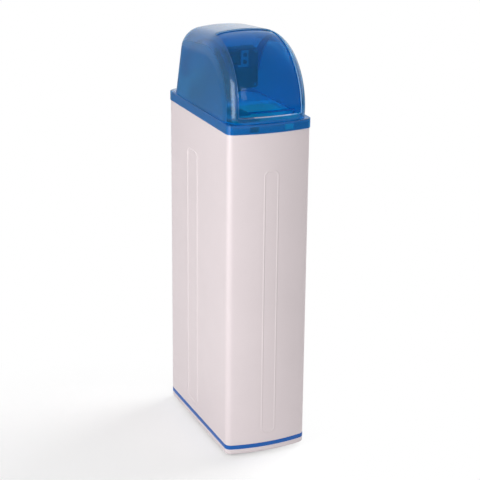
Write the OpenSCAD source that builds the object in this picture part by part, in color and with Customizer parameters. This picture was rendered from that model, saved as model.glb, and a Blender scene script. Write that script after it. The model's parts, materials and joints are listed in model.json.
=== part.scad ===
// Slim cabinet water softener: salt cabinet, pressure vessel, control valve,
// and a blue hood whose visor rolls back under the top plate.
// Millimetres. +Z up, front faces -Y, origin on the floor at the middle of the footprint.

/* [Cabinet] */
// Outside width of the cabinet
cabinet_w = 222; // [212:1:300]
// Outside depth of the cabinet, front of the bow to the rear wall
cabinet_d = 440; // [430:1:560]
// Height of the shoulder that carries the hood
shoulder_z = 870; // [840:1:1000]
// Wall of the cabinet
wall = 4; // [3:0.5:6]
// Radius of the two front corners
corner_r = 18; // [16:1:24]
// Radius of the two rear corners
rear_r = 30; // [15:1:40]
// Radius of the bowed front
bow_r = 425; // [350:5:700]
// Height of the feet
foot_h = 10; // [6:1:20]
// Radius of a foot
foot_r = 16; // [10:1:22]
// Height of the rim that stands above the shoulder
rim_h = 16; // [12:1:18]

/* [Trim] */
// Underside of the base band
band_z = 24.5; // [18:0.5:40]
// Height of the base band
band_h = 11.5; // [6:0.5:20]
// Depth of the band groove
band_t = 2; // [1:0.25:2.5]
// Width of the moulded strip on the front
front_strip_w = 36; // [20:1:60]
// Width of the moulded strip on each side
side_strip_w = 68; // [40:1:90]
// Middle of the side strip, front to back
side_strip_y = 38; // [0:1:60]
// Underside of the moulded strips
strip_z = 64; // [55:1:120]
// Top of the moulded strips
strip_top = 772; // [700:1:800]
// Height of the bead round each strip
bead_t = 1; // [0.6:0.1:1.4]
// Width of the bead
bead_w = 6; // [4:0.5:8]

/* [Hood] */
// Set-back of the hood inside the width of the cabinet
hood_in = 1.5; // [1:0.25:4]
// Thickness of the hood skin
skin = 3; // [2.5:0.25:4]
// Radius of the front arc along the middle of the hood
arc_r = 180; // [175:0.5:182]
// Crown radius across the hood
crown_r = 425; // [350:5:700]
// Edge radius along the hood
edge_r = 24; // [18:1:28]
// Height of the flange
flange_h = 24; // [22:1:28]
// Overhang of the flange outside the cabinet
flange_out = 2; // [1:0.25:4]
// Height of the visor axis above the flange
axis_h = 20; // [16:1:24]
// Angle where the arc runs into the flat top
arc_end = 98.4; // [96:0.2:101]
// Depth taken by the slope and the rear edge of the hood
rear_run = 134; // [125:1:145]
// Radius of the rear top edge
rear_top_r = 44; // [42:1:46]
// Angle of the rear wall along the same turn
rear_ang = 162; // [158:1:166]
// Width of a cheek beside the visor window
cheek_w = 21.5; // [20:0.5:28]
// Angle of the front edge of the top plate
win_ang = 92; // [90:0.5:94]
// Height of the sill below the window
sill_h = 15; // [12:0.5:16]
// Width of the rear wall left beside the pipe notch
notch_side = 37.5; // [34:0.5:44]
// Height of the rear pipe notch above the shoulder
notch_h = 76; // [72:1:78]

/* [Visor] */
// Thickness of the visor
visor_t = 2.5; // [2:0.25:3]
// Gap between visor and hood skin
visor_gap = 0.8; // [0.5:0.1:1.2]
// Overlap of the visor behind a cheek
visor_lap = 4; // [2:0.5:4]
// Angle of the upper edge of the visor when shut
visor_end = 98; // [95:0.5:100]
// Width of the visor left beside the finger lip
lip_side = 30; // [20:1:50]

/* [Vessel] */
// Gap between the vessel and a side wall
vessel_side = 5.4; // [5:0.2:16]
// Wall of the vessel
vessel_t = 4; // [3:0.5:6]
// Gap between the vessel and the rear wall
vessel_gap = 6.4; // [5:0.2:12]
// Radius of the vessel domes
dome_r = 60; // [50:1:70]
// Outside radius of the vessel neck
neck_r = 31.5; // [28:0.5:33]
// Bore of the vessel neck
neck_bore = 26; // [24:0.5:27]
// Height of the neck top above the shoulder
neck_up = 10; // [6:1:12]
// Outside radius of the riser tube
riser_r = 13.3; // [12:0.1:14]

/* [Brine] */
// Outside radius of the brine well
well_r = 36; // [30:1:36]
// Gap between the brine well and the side wall
well_gap = 3; // [2:0.5:10]
// Gap between the brine well and the vessel
well_clear = 16.2; // [12:0.2:24]
// Height of the salt grid above the floor
grid_h = 106; // [80:1:140]
// Underside of the float
float_z = 420; // [300:5:500]
// Height of the float
float_h = 60; // [40:1:80]
// Length of the float rod above the float
float_rod = 120; // [60:5:160]
// Radius of the brine tubing
tube_r = 4.75; // [3:0.25:5]
// Height of the overflow bush
overflow_z = 640; // [500:5:720]
// Bore of the overflow bush
overflow_bore = 6.5; // [5:0.25:7]

/* [Valve] */
// Height of the piston axis above the shoulder
piston_up = 98; // [96:1:100]
// Radius of the valve barrel
barrel_r = 23; // [22:0.5:24]
// Radius of the piston
piston_r = 11.2; // [10:0.1:12]
// Radius of the piston rod
rod_r = 3.5; // [3:0.1:4]
// Running gap of sliding and turning parts
run_gap = 0.06; // [0.03:0.01:0.1]
// Travel of the piston
piston_travel = 12; // [8:0.5:12]
// Sideways offset of the inlet and outlet
port_x = 38; // [36:1:40]
// Height of the ports above the shoulder
port_up = 45; // [44:1:46]
// Radius of the threaded tails
tail_r = 13.2; // [12:0.1:13.5]
// Bore of the tails
tail_bore = 9; // [7:0.5:10]
// Radius of the drain tail
drain_r = 6.5; // [5:0.25:7]

/* [Controller] */
// Half width of the control head
head_hw = 52; // [50:0.5:56]
// Underside of the control head above the shoulder
head_z = 64; // [63:1:65]
// Height of the control head
head_h = 103; // [101:1:105]
// Height of the lower cover
lower_h = 51; // [48:1:54]
// Front face of the control head, ahead of the vessel axis
head_ahead = 116; // [114:0.5:118]
// Wall of the covers
cover_t = 2.5; // [2:0.25:3]
// Depth of the control head
head_d = 38; // [37:0.5:40]
// Radius of a button
button_r = 5.2; // [4:0.1:5.6]
// Travel of a button
button_travel = 1.2; // [0.6:0.1:1.3]
// Height of the two buttons over the lower cover
button_up_h = 36; // [32:1:38]
// Spacing of the two buttons
button_pitch = 18; // [14:1:19]

/* [Hidden] */
$fn = 96;
hw = cabinet_w/2;
hd = cabinet_d/2;
hood_hw = hw - hood_in;
win_hw = hood_hw - cheek_w;
visor_hw = win_hw + visor_lap;
notch_hw = hood_hw - notch_side;
lip_hw = visor_hw - lip_side;
top_len = cabinet_d - arc_r - rear_run;
bow_y = -hd + bow_r;
front_cy = bow_y - sqrt(pow(bow_r - corner_r, 2) - pow(hw - corner_r, 2));
floor_z = foot_h + wall;
rim_z = shoulder_z + rim_h;
rim_in = 1.6;
skirt_in = 1;
ledge_z = shoulder_z + flange_h;
axis_y = -hd + arc_r;
axis_z = ledge_z + axis_h;
arch_l = rear_top_r - 1;
back_in = 1.2;
panel_in = 0.5;
fillet_v = crown_r - sqrt(pow(crown_r - edge_r, 2) - pow(hood_hw - edge_r, 2));
deck_t = 3;
vessel_r = hw - wall - vessel_side;
vessel_y = hd - wall - vessel_gap - vessel_r;
well_x = -(hw - wall - well_gap - well_r);
well_y = vessel_y - sqrt(pow(vessel_r + well_r + well_clear, 2) - pow(well_x, 2));
head_y = vessel_y - head_ahead;
salt_y1 = vessel_y - vessel_r - 2.4;
slot_x = hw*0.414;
overflow_x = hw - 48;
grid_n = floor((well_y - well_r - 6 + hd - 34)/14);
vessel_z0 = floor_z + 6;
neck_z = shoulder_z + neck_up;
dome_z = neck_z - 30;
piston_z = shoulder_z + piston_up;
port_z = shoulder_z + port_up;
head_z0 = shoulder_z + head_z;
head_z1 = head_z0 + head_h;
split_z = head_z0 + lower_h;
plate_y = head_y + head_d;
plate_t = 3;
barrel_y0 = plate_y + plate_t;
barrel_l = 71;
bore_r = barrel_r - 6;
stack_y = barrel_y0 + 18;
stack_l = 46;
port_y1 = vessel_y + 52;
gear_m = 1.25;
gear_n = 48;
pinion_n = 14;
gear_r = gear_m*gear_n/2;
pinion_r = gear_m*pinion_n/2;
gear_y = plate_y - 10;
gear_t = 6;
pinion_a = 60;
pinion_x = (gear_r + pinion_r)*cos(pinion_a);
pinion_z = piston_z + (gear_r + pinion_r)*sin(pinion_a);
button_x = 14.5;
lens_w = 40;
lens_z = split_z + 12.5;
foot_w = 4;
button_z1 = split_z + button_up_h;
button_z2 = button_z1 - button_pitch;
pick_x = well_x + 16;
well_top = shoulder_z - 4;
grid_z = floor_z + grid_h;

// Footprint with a bowed front, moved outward by o
module plan(o) {
  k = 1.2;
  translate([-(hw + o), front_cy]) square([2*(hw + o), hd - rear_r - front_cy]);
  translate([-(hw - rear_r), front_cy]) square([2*(hw - rear_r), hd + o - front_cy]);
  for (s = [-1, 1]) {
    translate([s*(hw - rear_r), hd - rear_r]) circle(rear_r + o);
    translate([s*(hw - corner_r), front_cy]) circle(corner_r + o);
  }
  intersection() {
    translate([0, bow_y]) circle(bow_r + o);
    polygon([[-(hw - corner_r), front_cy], [hw - corner_r, front_cy],
      [k*(hw - corner_r), bow_y + k*(front_cy - bow_y)],
      [-k*(hw - corner_r), bow_y + k*(front_cy - bow_y)]]);
  }
}

module slab(z0, z1, o) translate([0, 0, z0]) linear_extrude(z1 - z0) plan(o);

// Cylinder along +Y
module rod_y(x, y0, y1, z, r) translate([x, y0, z]) rotate([-90, 0, 0]) cylinder(h = y1 - y0, r = r);

// Cylinder along +X
module rod_x(x0, x1, y, z, r) translate([x0, y, z]) rotate([0, 90, 0]) cylinder(h = x1 - x0, r = r);

// Upright cylinder
module post(x, y, z0, z1, r) translate([x, y, z0]) cylinder(h = z1 - z0, r = r);

// Block between two corners
module block(a, b) translate(a) cube([b[0] - a[0], b[1] - a[1], b[2] - a[2]]);

// Moulded strip with cut corners, lying flat
module strip2d(w, z0, z1, c) {
  polygon([[-w/2, z0 + c], [-w/2 + c, z0], [w/2 - c, z0], [w/2, z0 + c],
    [w/2, z1 - c], [w/2 - c, z1], [-w/2 + c, z1], [-w/2, z1 - c]]);
}

// Outline of a strip as a narrow bead
module bead2d(w, c) difference() {
  strip2d(w + bead_w, strip_z - bead_w/2, strip_top + bead_w/2, c + bead_w*0.3);
  strip2d(w - bead_w, strip_z + bead_w/2, strip_top - bead_w/2, c - bead_w*0.3);
}

module latch_notch(w, z0, z1, d0, d1) {
  for (s = [-1, 1]) block([s*slot_x - w/2, -hd + d0, z0], [s*slot_x + w/2, -hd + d1, z1]);
}

module cabinet_shell() color([0.93, 0.91, 0.9]) {
  difference() {
    union() {
      slab(foot_h, shoulder_z, 0);
      slab(shoulder_z - 1, rim_z, -rim_in);
      intersection() {
        translate([0, -hd + 20, 0]) rotate([90, 0, 0]) linear_extrude(40) bead2d(front_strip_w, 7);
        slab(strip_z - 10, strip_top + 10, bead_t);
      }
      for (s = [-1, 1]) translate([s*(hw - 1), side_strip_y, 0]) rotate([90, 0, 90])
        translate([0, 0, s > 0 ? 0 : -1 - bead_t]) linear_extrude(1 + bead_t) bead2d(side_strip_w, 10);
    }
    slab(floor_z, rim_z + 1, -wall);
    difference() {
      slab(band_z, band_z + band_h, 1);
      slab(band_z - 1, band_z + band_h + 1, -band_t);
    }
    latch_notch(24, shoulder_z + 4, rim_z + 1, 0, 16);
    rod_y(overflow_x, hd - wall - 1, hd + 1, overflow_z, 10);
  }
}

module base_band() color([0.0, 0.25, 0.7]) {
  difference() {
    slab(band_z, band_z + band_h, 0.4);
    slab(band_z - 1, band_z + band_h + 1, -band_t);
  }
}

module feet() color([0.08, 0.08, 0.09]) {
  for (sx = [-1, 1]) for (sy = [-1, 1]) {
    post(sx*(hw - 32), sy*(hd - 46), 0, foot_h - 3, foot_r);
    post(sx*(hw - 32), sy*(hd - 46), foot_h - 3.5, foot_h, foot_r - 3);
  }
}

module salt_hole(o, z0, z1) {
  w = hw - 18 + o;
  r = 24 + o;
  y0 = -hd + 24 - o;
  y1 = salt_y1 + o;
  for (s = [-1, 1]) {
    post(s*(w - r), y0 + r, z0, z1, r);
    post(s*(w - r), y1 - r, z0, z1, r);
  }
  block([-w + r, y0, z0], [w - r, y1, z1]);
  block([-w, y0 + r, z0], [w, y1 - r, z1]);
}

module top_deck() color([0.88, 0.9, 0.92]) {
  difference() {
    union() {
      slab(rim_z, rim_z + deck_t, -rim_in - 0.4);
      salt_hole(3, rim_z, rim_z + 10);
    }
    salt_hole(0, rim_z - 1, rim_z + 12);
    post(0, vessel_y, rim_z - 1, rim_z + deck_t + 1, 48);
    latch_notch(24, rim_z - 1, rim_z + deck_t + 1, 0, 8);
  }
}

module salt_grid() color([0.85, 0.86, 0.86]) {
  difference() {
    slab(grid_z, grid_z + 4, -wall - 2);
    post(0, vessel_y, grid_z - 1, grid_z + 5, vessel_r + 5);
    post(well_x, well_y, grid_z - 1, grid_z + 5, well_r + 1.5);
    block([-hw, vessel_y - 48, grid_z - 1], [hw, hd, grid_z + 5]);
    for (i = [0:grid_n - 1]) for (s = [-1, 1])
      block([s*slot_x - slot_x + 12, -hd + 34 + i*14, grid_z - 1], [s*slot_x + slot_x - 12, -hd + 39 + i*14, grid_z + 5]);
  }
  for (p = [[25 - hw, -hd + 52], [hw - 25, -hd + 52], [0, -hd + 26], [hw - 23, well_y + 6]])
    post(p[0], p[1], floor_z, grid_z, 7);
}

module brine_well() color([0.9, 0.91, 0.92]) {
  difference() {
    post(well_x, well_y, floor_z, well_top, well_r);
    post(well_x, well_y, floor_z - 1, well_top + 1, well_r - 2.5);
    for (i = [0:5]) for (a = [0, 60, 120]) translate([well_x, well_y, floor_z + 24 + i*12]) rotate([0, 0, a])
      cube([2*well_r + 2, 10, 4], center = true);
  }
}

module well_cap() color([0.9, 0.91, 0.92]) {
  difference() {
    union() {
      post(well_x, well_y, well_top, well_top + 4, well_r + 1);
      post(well_x, well_y, well_top - 8, well_top + 0.5, well_r - 3);
    }
    post(well_x, well_y, well_top - 9, well_top, well_r - 5.5);
    post(pick_x, well_y, well_top - 10, well_top + 5, tube_r + 0.4);
  }
}

module brine_valve() color([0.15, 0.16, 0.18]) {
  difference() {
    union() {
      post(well_x, well_y, floor_z, floor_z + 6, 28);
      post(well_x, well_y, floor_z + 5, floor_z + 42, 10.8);
      post(pick_x, well_y, floor_z + 5, floor_z + 30, 9);
      block([well_x, well_y - 6, floor_z + 5], [pick_x, well_y + 6, floor_z + 24]);
      post(well_x, well_y, floor_z + 41, floor_z + 52, 8);
    }
    post(well_x, well_y, floor_z + 16, floor_z + 53, 3 + run_gap);
  }
}

module brine_pickup() color([0.95, 0.95, 0.93]) {
  difference() {
    post(pick_x, well_y, floor_z + 30, well_top + 10, tube_r);
    post(pick_x, well_y, floor_z + 29, well_top + 11, tube_r - 1.4);
  }
}

// Brine tube run, straight lengths joined by two bends
module ring2d() difference() {
  circle(tube_r);
  circle(tube_r - 1.4);
}

module brine_line() color([0.95, 0.95, 0.93]) {
  y0 = vessel_y - 38;
  z0 = shoulder_z + 66;
  lz = rim_z + 20;
  z1 = well_top + 10;
  b = 12;
  translate([pick_x, y0, lz + b]) linear_extrude(z0 - lz - b) ring2d();
  translate([pick_x, y0 - b, lz + b]) rotate([90, 0, 90]) rotate([0, 0, -90]) rotate_extrude(angle = 90)
    translate([b, 0]) ring2d();
  translate([pick_x, y0 - b, lz]) rotate([90, 0, 0]) linear_extrude(y0 - well_y - 2*b) ring2d();
  translate([pick_x, well_y + b, lz - b]) rotate([90, 0, 90]) rotate([0, 0, 90]) rotate_extrude(angle = 90)
    translate([b, 0]) ring2d();
  translate([pick_x, well_y, z1]) linear_extrude(lz - b - z1) ring2d();
}

module float() color([0.92, 0.92, 0.9]) {
  difference() {
    post(well_x, well_y, float_z, float_z + float_h, well_r - 7);
    post(pick_x, well_y, float_z - 1, float_z + float_h + 1, tube_r + 1.2);
  }
  post(well_x, well_y, floor_z + 20, float_z + float_h + float_rod, 3);
}

module overflow_bush() color([0.1, 0.1, 0.11]) {
  difference() {
    union() {
      rod_y(overflow_x, hd, hd + 2, overflow_z, 15);
      rod_y(overflow_x, hd - wall - 12, hd + 0.5, overflow_z, 9.7);
    }
    rod_y(overflow_x, hd - 30, hd + 3, overflow_z, overflow_bore);
  }
}

module overflow_nut() color([0.12, 0.12, 0.13]) {
  difference() {
    translate([overflow_x, hd - wall - 8, overflow_z]) rotate([-90, 0, 0]) cylinder(h = 8, r = 17, $fn = 6);
    rod_y(overflow_x, hd - wall - 9, hd - wall + 1, overflow_z, 10);
  }
}

module vessel2d(o, z0, z1) {
  intersection() {
    union() {
      translate([0, z0 + dome_r]) square([vessel_r + o, z1 - z0 - 2*dome_r]);
      translate([0, z0 - o]) square([vessel_r - dome_r, z1 - z0 + 2*o]);
      translate([vessel_r - dome_r, z0 + dome_r]) circle(dome_r + o);
      translate([vessel_r - dome_r, z1 - dome_r]) circle(dome_r + o);
    }
    translate([0, z0 - 10]) square([vessel_r + 10, z1 - z0 + 20]);
  }
}

module vessel() color([0.2, 0.32, 0.5]) {
  translate([0, vessel_y, 0]) difference() {
    union() {
      rotate_extrude() vessel2d(0, vessel_z0, dome_z);
      cylinder(h = neck_z, r = neck_r);
    }
    rotate_extrude() vessel2d(-vessel_t, vessel_z0, dome_z);
    translate([0, 0, dome_z - 20]) cylinder(h = 80, r = neck_bore);
    difference() {
      cylinder(h = vessel_z0 + 20, r = neck_r + 1);
      translate([0, 0, vessel_z0]) cylinder(h = 30, r = neck_r + 2);
    }
  }
}

module vessel_boot() color([0.07, 0.07, 0.08]) {
  translate([0, vessel_y, 0]) {
    difference() {
      translate([0, 0, floor_z]) cylinder(h = 56, r = vessel_r + 3);
      rotate_extrude() vessel2d(0.6, vessel_z0, dome_z);
    }
    translate([0, 0, floor_z]) cylinder(h = vessel_z0 - floor_z, r = 34);
  }
}

module riser_tube() color([0.93, 0.93, 0.92]) {
  difference() {
    post(0, vessel_y, vessel_z0 + vessel_t + 12, neck_z + 8, riser_r);
    post(0, vessel_y, vessel_z0 + vessel_t + 11, neck_z + 9, riser_r - 2.6);
  }
}

module lower_basket() color([0.9, 0.9, 0.88]) {
  difference() {
    post(0, vessel_y, vessel_z0 + vessel_t, vessel_z0 + vessel_t + 52, 24);
    post(0, vessel_y, vessel_z0 + vessel_t + 12, vessel_z0 + vessel_t + 53, riser_r + run_gap);
    for (a = [0:30:330]) translate([0, vessel_y, vessel_z0 + vessel_t + 28]) rotate([0, 0, a])
      translate([21, 0, 0]) cube([10, 2, 34], center = true);
  }
}

module upper_basket() color([0.9, 0.9, 0.88]) {
  difference() {
    post(0, vessel_y, neck_z - 34, neck_z, neck_bore - 2);
    post(0, vessel_y, neck_z - 35, neck_z + 1, riser_r + run_gap);
    for (a = [0:30:330]) translate([0, vessel_y, neck_z - 17]) rotate([0, 0, a])
      translate([23, 0, 0]) cube([10, 2, 24], center = true);
  }
}

module tank_seal() color([0.05, 0.05, 0.06]) {
  difference() {
    post(0, vessel_y, neck_z, neck_z + 3, neck_bore + 4);
    post(0, vessel_y, neck_z - 1, neck_z + 4, neck_bore + 1);
  }
}

module valve_body() color([0.1, 0.11, 0.13]) {
  difference() {
    union() {
      post(0, vessel_y, neck_z - 20, neck_z + 38, neck_r + 10.5);
      rod_y(0, barrel_y0, barrel_y0 + barrel_l, piston_z, barrel_r);
      block([-18, vessel_y - 30, neck_z + 30], [18, barrel_y0 + barrel_l, piston_z - 8]);
      for (s = [-1, 1]) rod_y(s*port_x, vessel_y - 8, port_y1, port_z, 17);
      rod_y(0, vessel_y, vessel_y + 44, port_z, 10);
      rod_x(0, 38, vessel_y - 38, piston_z, 14);
      rod_x(-36, 0, vessel_y - 38, piston_z, 9);
    }
    post(0, vessel_y, neck_z - 21, neck_z, neck_r + 0.4);
    post(0, vessel_y, neck_z - 1, neck_z + 8, riser_r + run_gap);
    difference() {
      post(0, vessel_y, neck_z - 1, neck_z + 3, neck_bore + 4.4);
      post(0, vessel_y, neck_z - 2, neck_z + 4, neck_bore + 0.6);
    }
    rod_y(0, barrel_y0 - 1, barrel_y0 + barrel_l - 6, piston_z, bore_r);
    for (s = [-1, 1]) rod_y(s*port_x, vessel_y + 10, port_y1 + 1, port_z, 10);
    rod_y(0, vessel_y + 20, vessel_y + 45, port_z, 4);
  }
}

module seal_stack() color([0.75, 0.72, 0.62]) {
  difference() {
    rod_y(0, stack_y, stack_y + stack_l, piston_z, bore_r - 0.1);
    rod_y(0, stack_y - 1, stack_y + stack_l + 1, piston_z, piston_r + run_gap);
    for (i = [0:3]) for (a = [0, 60, 120]) translate([0, stack_y + 7 + i*10.5, piston_z]) rotate([0, a, 0])
      cube([2*bore_r + 2, 5, 8], center = true);
  }
}

module piston_plug() color([0.13, 0.13, 0.14]) {
  difference() {
    rod_y(0, barrel_y0, stack_y, piston_z, bore_r - 0.1);
    rod_y(0, barrel_y0 - 1, stack_y + 1, piston_z, rod_r + run_gap);
  }
}

module piston() color([0.8, 0.8, 0.82]) {
  difference() {
    rod_y(0, stack_y + 1, stack_y + 31, piston_z, piston_r);
    difference() {
      rod_y(0, stack_y + 9, stack_y + 23, piston_z, piston_r + 1);
      rod_y(0, stack_y + 8, stack_y + 24, piston_z, piston_r - 3);
    }
  }
  rod_y(0, gear_y - 8, stack_y + 2, piston_z, rod_r);
}

module gear2d(n, m, bore) {
  r = m*n/2;
  difference() {
    union() {
      circle(r - 0.9*m);
      for (i = [0:n - 1]) rotate(i*360/n) polygon([[r - 1.2*m, -0.85*m], [r + 0.55*m, -0.32*m],
        [r + 0.55*m, 0.32*m], [r - 1.2*m, 0.85*m]]);
    }
    circle(bore);
  }
}

module drive_gear() color([0.9, 0.9, 0.86]) {
  translate([0, gear_y + gear_t, piston_z]) rotate([90, 0, 0]) linear_extrude(gear_t) gear2d(gear_n, gear_m, rod_r + run_gap);
  difference() {
    rod_y(0, gear_y + gear_t, plate_y, piston_z, 9);
    rod_y(0, gear_y, plate_y + 1, piston_z, rod_r + run_gap);
  }
}

module motor_pinion() color([0.85, 0.75, 0.5]) {
  translate([pinion_x, gear_y + gear_t, pinion_z]) rotate([90, 0, 0]) linear_extrude(gear_t)
    rotate(180 + 180/pinion_n - pinion_a*0 + 60) gear2d(pinion_n, gear_m, 2 + run_gap);
}

module motor() color([0.6, 0.61, 0.63]) {
  rod_y(pinion_x, plate_y + plate_t, plate_y + plate_t + 26, pinion_z, 14);
  rod_y(pinion_x, gear_y - 2, plate_y + plate_t + 1, pinion_z, 2);
}

module drive_plate() color([0.12, 0.13, 0.15]) {
  difference() {
    block([-head_hw, plate_y, head_z0], [head_hw, plate_y + plate_t, head_z1]);
    rod_y(0, plate_y - 1, plate_y + plate_t + 1, piston_z, rod_r + 0.5);
    rod_y(pinion_x, plate_y - 1, plate_y + plate_t + 1, pinion_z, 3);
  }
}

module circuit_board() color([0.05, 0.3, 0.15]) {
  block([-head_hw + 6, head_y + 10, split_z + 4], [head_hw - 6, head_y + 11.6, head_z1 - 5]);
  for (z = [button_z1, button_z2]) block([button_x - 3, head_y + 8, z - 3], [button_x + 3, head_y + 10, z + 3]);
  for (p = [[-head_hw + 11, split_z + 9], [head_hw - 11, split_z + 9]])
    rod_y(p[0], head_y + 11.6, plate_y, p[1], 3);
}

module cover_box(z0, z1, open_top, open_low) {
  difference() {
    block([-head_hw, head_y, z0], [head_hw, plate_y, z1]);
    block([-head_hw + cover_t, head_y + cover_t, z0 + (open_low ? -1 : cover_t)],
      [head_hw - cover_t, plate_y + 1, z1 + (open_top ? 1 : -cover_t)]);
  }
}

module upper_cover() color([0.07, 0.09, 0.15]) {
  difference() {
    cover_box(split_z + 0.6, head_z1, false, true);
    block([-lens_w - 0.3, head_y - 1, lens_z - 0.3], [2.3, head_y + 1.5, head_z1 - 6.7]);
    block([4.7, head_y - 1, split_z + 4.7], [24.8, head_y + 1, head_z1 - 3.7]);
    block([-foot_w - 0.3, head_y - 1, split_z + 4.7], [6, head_y + 1, split_z + 11.1]);
    for (z = [button_z1, button_z2]) rod_y(button_x, head_y - 1, head_y + cover_t + 1, z, button_r + 0.4);
  }
}

module lower_cover() color([0.06, 0.07, 0.1]) {
  cover_box(head_z0, split_z, true, false);
}

module display_lens() color([0.02, 0.03, 0.05]) {
  block([-lens_w, head_y - 0.4, lens_z], [2, head_y + 1.5, head_z1 - 7]);
}

module button_bezel() color([0.7, 0.75, 0.82]) {
  difference() {
    union() {
      block([5, head_y - 0.6, split_z + 5], [24.5, head_y + 1, head_z1 - 4]);
      block([-foot_w, head_y - 0.6, split_z + 5], [6, head_y + 1, split_z + 10.8]);
    }
    for (z = [button_z1, button_z2]) rod_y(button_x, head_y - 1, head_y + 2, z, button_r + 0.4);
  }
}

module one_button(z) {
  rod_y(button_x, head_y - 2.6, head_y + cover_t + 0.5, z, button_r);
  rod_y(button_x, head_y + cover_t, head_y + cover_t + 1, z, button_r + 1.5);
  rod_y(button_x, head_y + cover_t + 0.5, head_y + 8 - button_travel - 0.1, z, 2);
}

module button_up() color([0.1, 0.1, 0.12]) one_button(button_z1);

module button_down() color([0.1, 0.1, 0.12]) one_button(button_z2);

module cover_screws() color([0.6, 0.61, 0.62]) {
  for (p = [[-head_hw + 8, head_z0 + 8], [head_hw - 8, head_z0 + 8], [head_hw - 8, head_z1 - 8]]) {
    difference() {
      rod_y(p[0], head_y - 1.4, head_y, p[1], 3.4);
      block([p[0] - 2.4, head_y - 2, p[1] - 0.5], [p[0] + 2.4, head_y - 0.7, p[1] + 0.5]);
    }
  }
}

module power_socket() color([0.1, 0.1, 0.11]) {
  difference() {
    rod_y(head_hw - 13, plate_y + plate_t, plate_y + plate_t + 12, head_z0 + 14, 7);
    rod_y(head_hw - 13, plate_y + plate_t + 3, plate_y + plate_t + 13, head_z0 + 14, 3.2);
  }
}

module injector_cap() color([0.14, 0.15, 0.17]) {
  rod_x(38, 44, vessel_y - 38, piston_z, 16);
  translate([43.5, vessel_y - 38, piston_z]) rotate([0, 90, 0]) cylinder(h = 6.5, r = 8, $fn = 6);
}

module brine_elbow() color([0.14, 0.15, 0.17]) {
  difference() {
    union() {
      rod_x(pick_x - 10, -36, vessel_y - 38, piston_z, 9);
      post(pick_x, vessel_y - 38, shoulder_z + 66, piston_z, 7);
    }
    post(pick_x, vessel_y - 38, shoulder_z + 65, piston_z - 4, 2.5);
  }
}

module tail(s) {
  difference() {
    union() {
      rod_y(s*port_x, port_y1, port_y1 + 6, port_z, 16.6);
      rod_y(s*port_x, port_y1 + 5, port_y1 + 22, port_z, tail_r - 0.6);
      rod_y(s*port_x, port_y1 + 21.4, hd - 4, port_z, tail_r);
    }
    rod_y(s*port_x, port_y1 - 1, hd - 3, port_z, tail_bore);
  }
}

module inlet_tail() color([0.72, 0.6, 0.32]) tail(-1);

module outlet_tail() color([0.72, 0.6, 0.32]) tail(1);

module union_nuts() color([0.13, 0.13, 0.14]) {
  for (s = [-1, 1]) difference() {
    translate([s*port_x, port_y1 + 6, port_z]) rotate([-90, 0, 0]) cylinder(h = 14, r = 20, $fn = 8);
    rod_y(s*port_x, port_y1 + 5, port_y1 + 21, port_z, tail_r - 0.2);
  }
}

module drain_fitting() color([0.13, 0.13, 0.14]) {
  difference() {
    union() {
      rod_y(0, vessel_y + 44, vessel_y + 50, port_z, 9.5);
      rod_y(0, vessel_y + 49, hd - 8, port_z, drain_r);
    }
    rod_y(0, vessel_y + 43, hd - 7, port_z, drain_r - 2);
  }
}

// Cross-section of the hood: x across, v inward from the crown
module arch_fill(o, l) {
  a = hood_hw - edge_r;
  b = a*(crown_r + 10)/(crown_r - fillet_v);
  translate([-(hood_hw - o), fillet_v]) square([2*(hood_hw - o), l - fillet_v]);
  for (s = [-1, 1]) intersection() {
    translate([s*a, fillet_v]) circle(edge_r - o);
    translate([s*a - edge_r - 1, fillet_v - edge_r - 1]) square([2*edge_r + 2, edge_r + 1]);
  }
  intersection() {
    translate([0, crown_r]) circle(crown_r - o);
    polygon([[-a, fillet_v], [a, fillet_v], [b, -10], [-b, -10]]);
  }
}

module arch(o = 0) {
  difference() {
    arch_fill(o, arch_l);
    arch_fill(skin + o, arch_l + 1);
  }
}

// The same section standing at radius r from a turning axis
module arch_at(r, o = 0) translate([r, 0]) rotate(90) arch(o);

// Local frame of the visor axis: x to the front, y up, z across
module axis_frame() translate([0, axis_y, axis_z]) rotate([90, 0, -90]) children();

module side_panel2d() {
  g = 6;
  ri = arc_r - arch_l + g;
  zb = ledge_z - skin - axis_z;
  c2 = (arc_r - rear_top_r)*[cos(arc_end), sin(arc_end)] + top_len*[-sin(arc_end), cos(arc_end)];
  t2 = [-sin(rear_ang), cos(rear_ang)];
  p5 = c2 + g*[cos(rear_ang), sin(rear_ang)];
  intersection() {
    circle(ri);
    translate([-ri - 1, zb]) square([2*ri + 2, 2*ri]);
  }
  polygon([[ri, zb], [ri, 0], [0, 0.5*ri], ri*[cos(arc_end), sin(arc_end)],
    c2 + g*[cos(arc_end), sin(arc_end)], p5, p5 + t2*((zb - p5[1])/t2[1])]);
}

module hood_skin() {
  axis_frame() {
    rotate([0, 0, arc_end]) {
      mirror([0, 1, 0]) rotate_extrude(angle = arc_end + 8) arch_at(arc_r);
      translate([0, top_len, 0]) rotate([90, 0, 0]) linear_extrude(top_len) arch_at(arc_r);
      translate([arc_r - rear_top_r, top_len, 0]) {
        rotate_extrude(angle = rear_ang - arc_end) arch_at(rear_top_r);
        rotate([0, 0, rear_ang - arc_end]) translate([0, 190, 0]) rotate([90, 0, 0]) linear_extrude(193)
          arch_at(rear_top_r, back_in);
      }
    }
    for (s = [-1, 1]) translate([0, 0, s > 0 ? hood_hw - skin + panel_in : -hood_hw + panel_in])
      linear_extrude(skin - 2*panel_in) side_panel2d();
  }
}

module rails() {
  ro = arc_r - skin - 2*visor_gap - visor_t - pow(visor_hw, 2)/(2*crown_r) - 0.6;
  axis_frame() rotate([0, 0, 2]) rotate_extrude(angle = 168) for (s = [-1, 1])
    translate([ro - 3, s > 0 ? visor_hw - 3 : -hood_hw + 1]) square([3, hood_hw - 1 - visor_hw + 3]);
}

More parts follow.
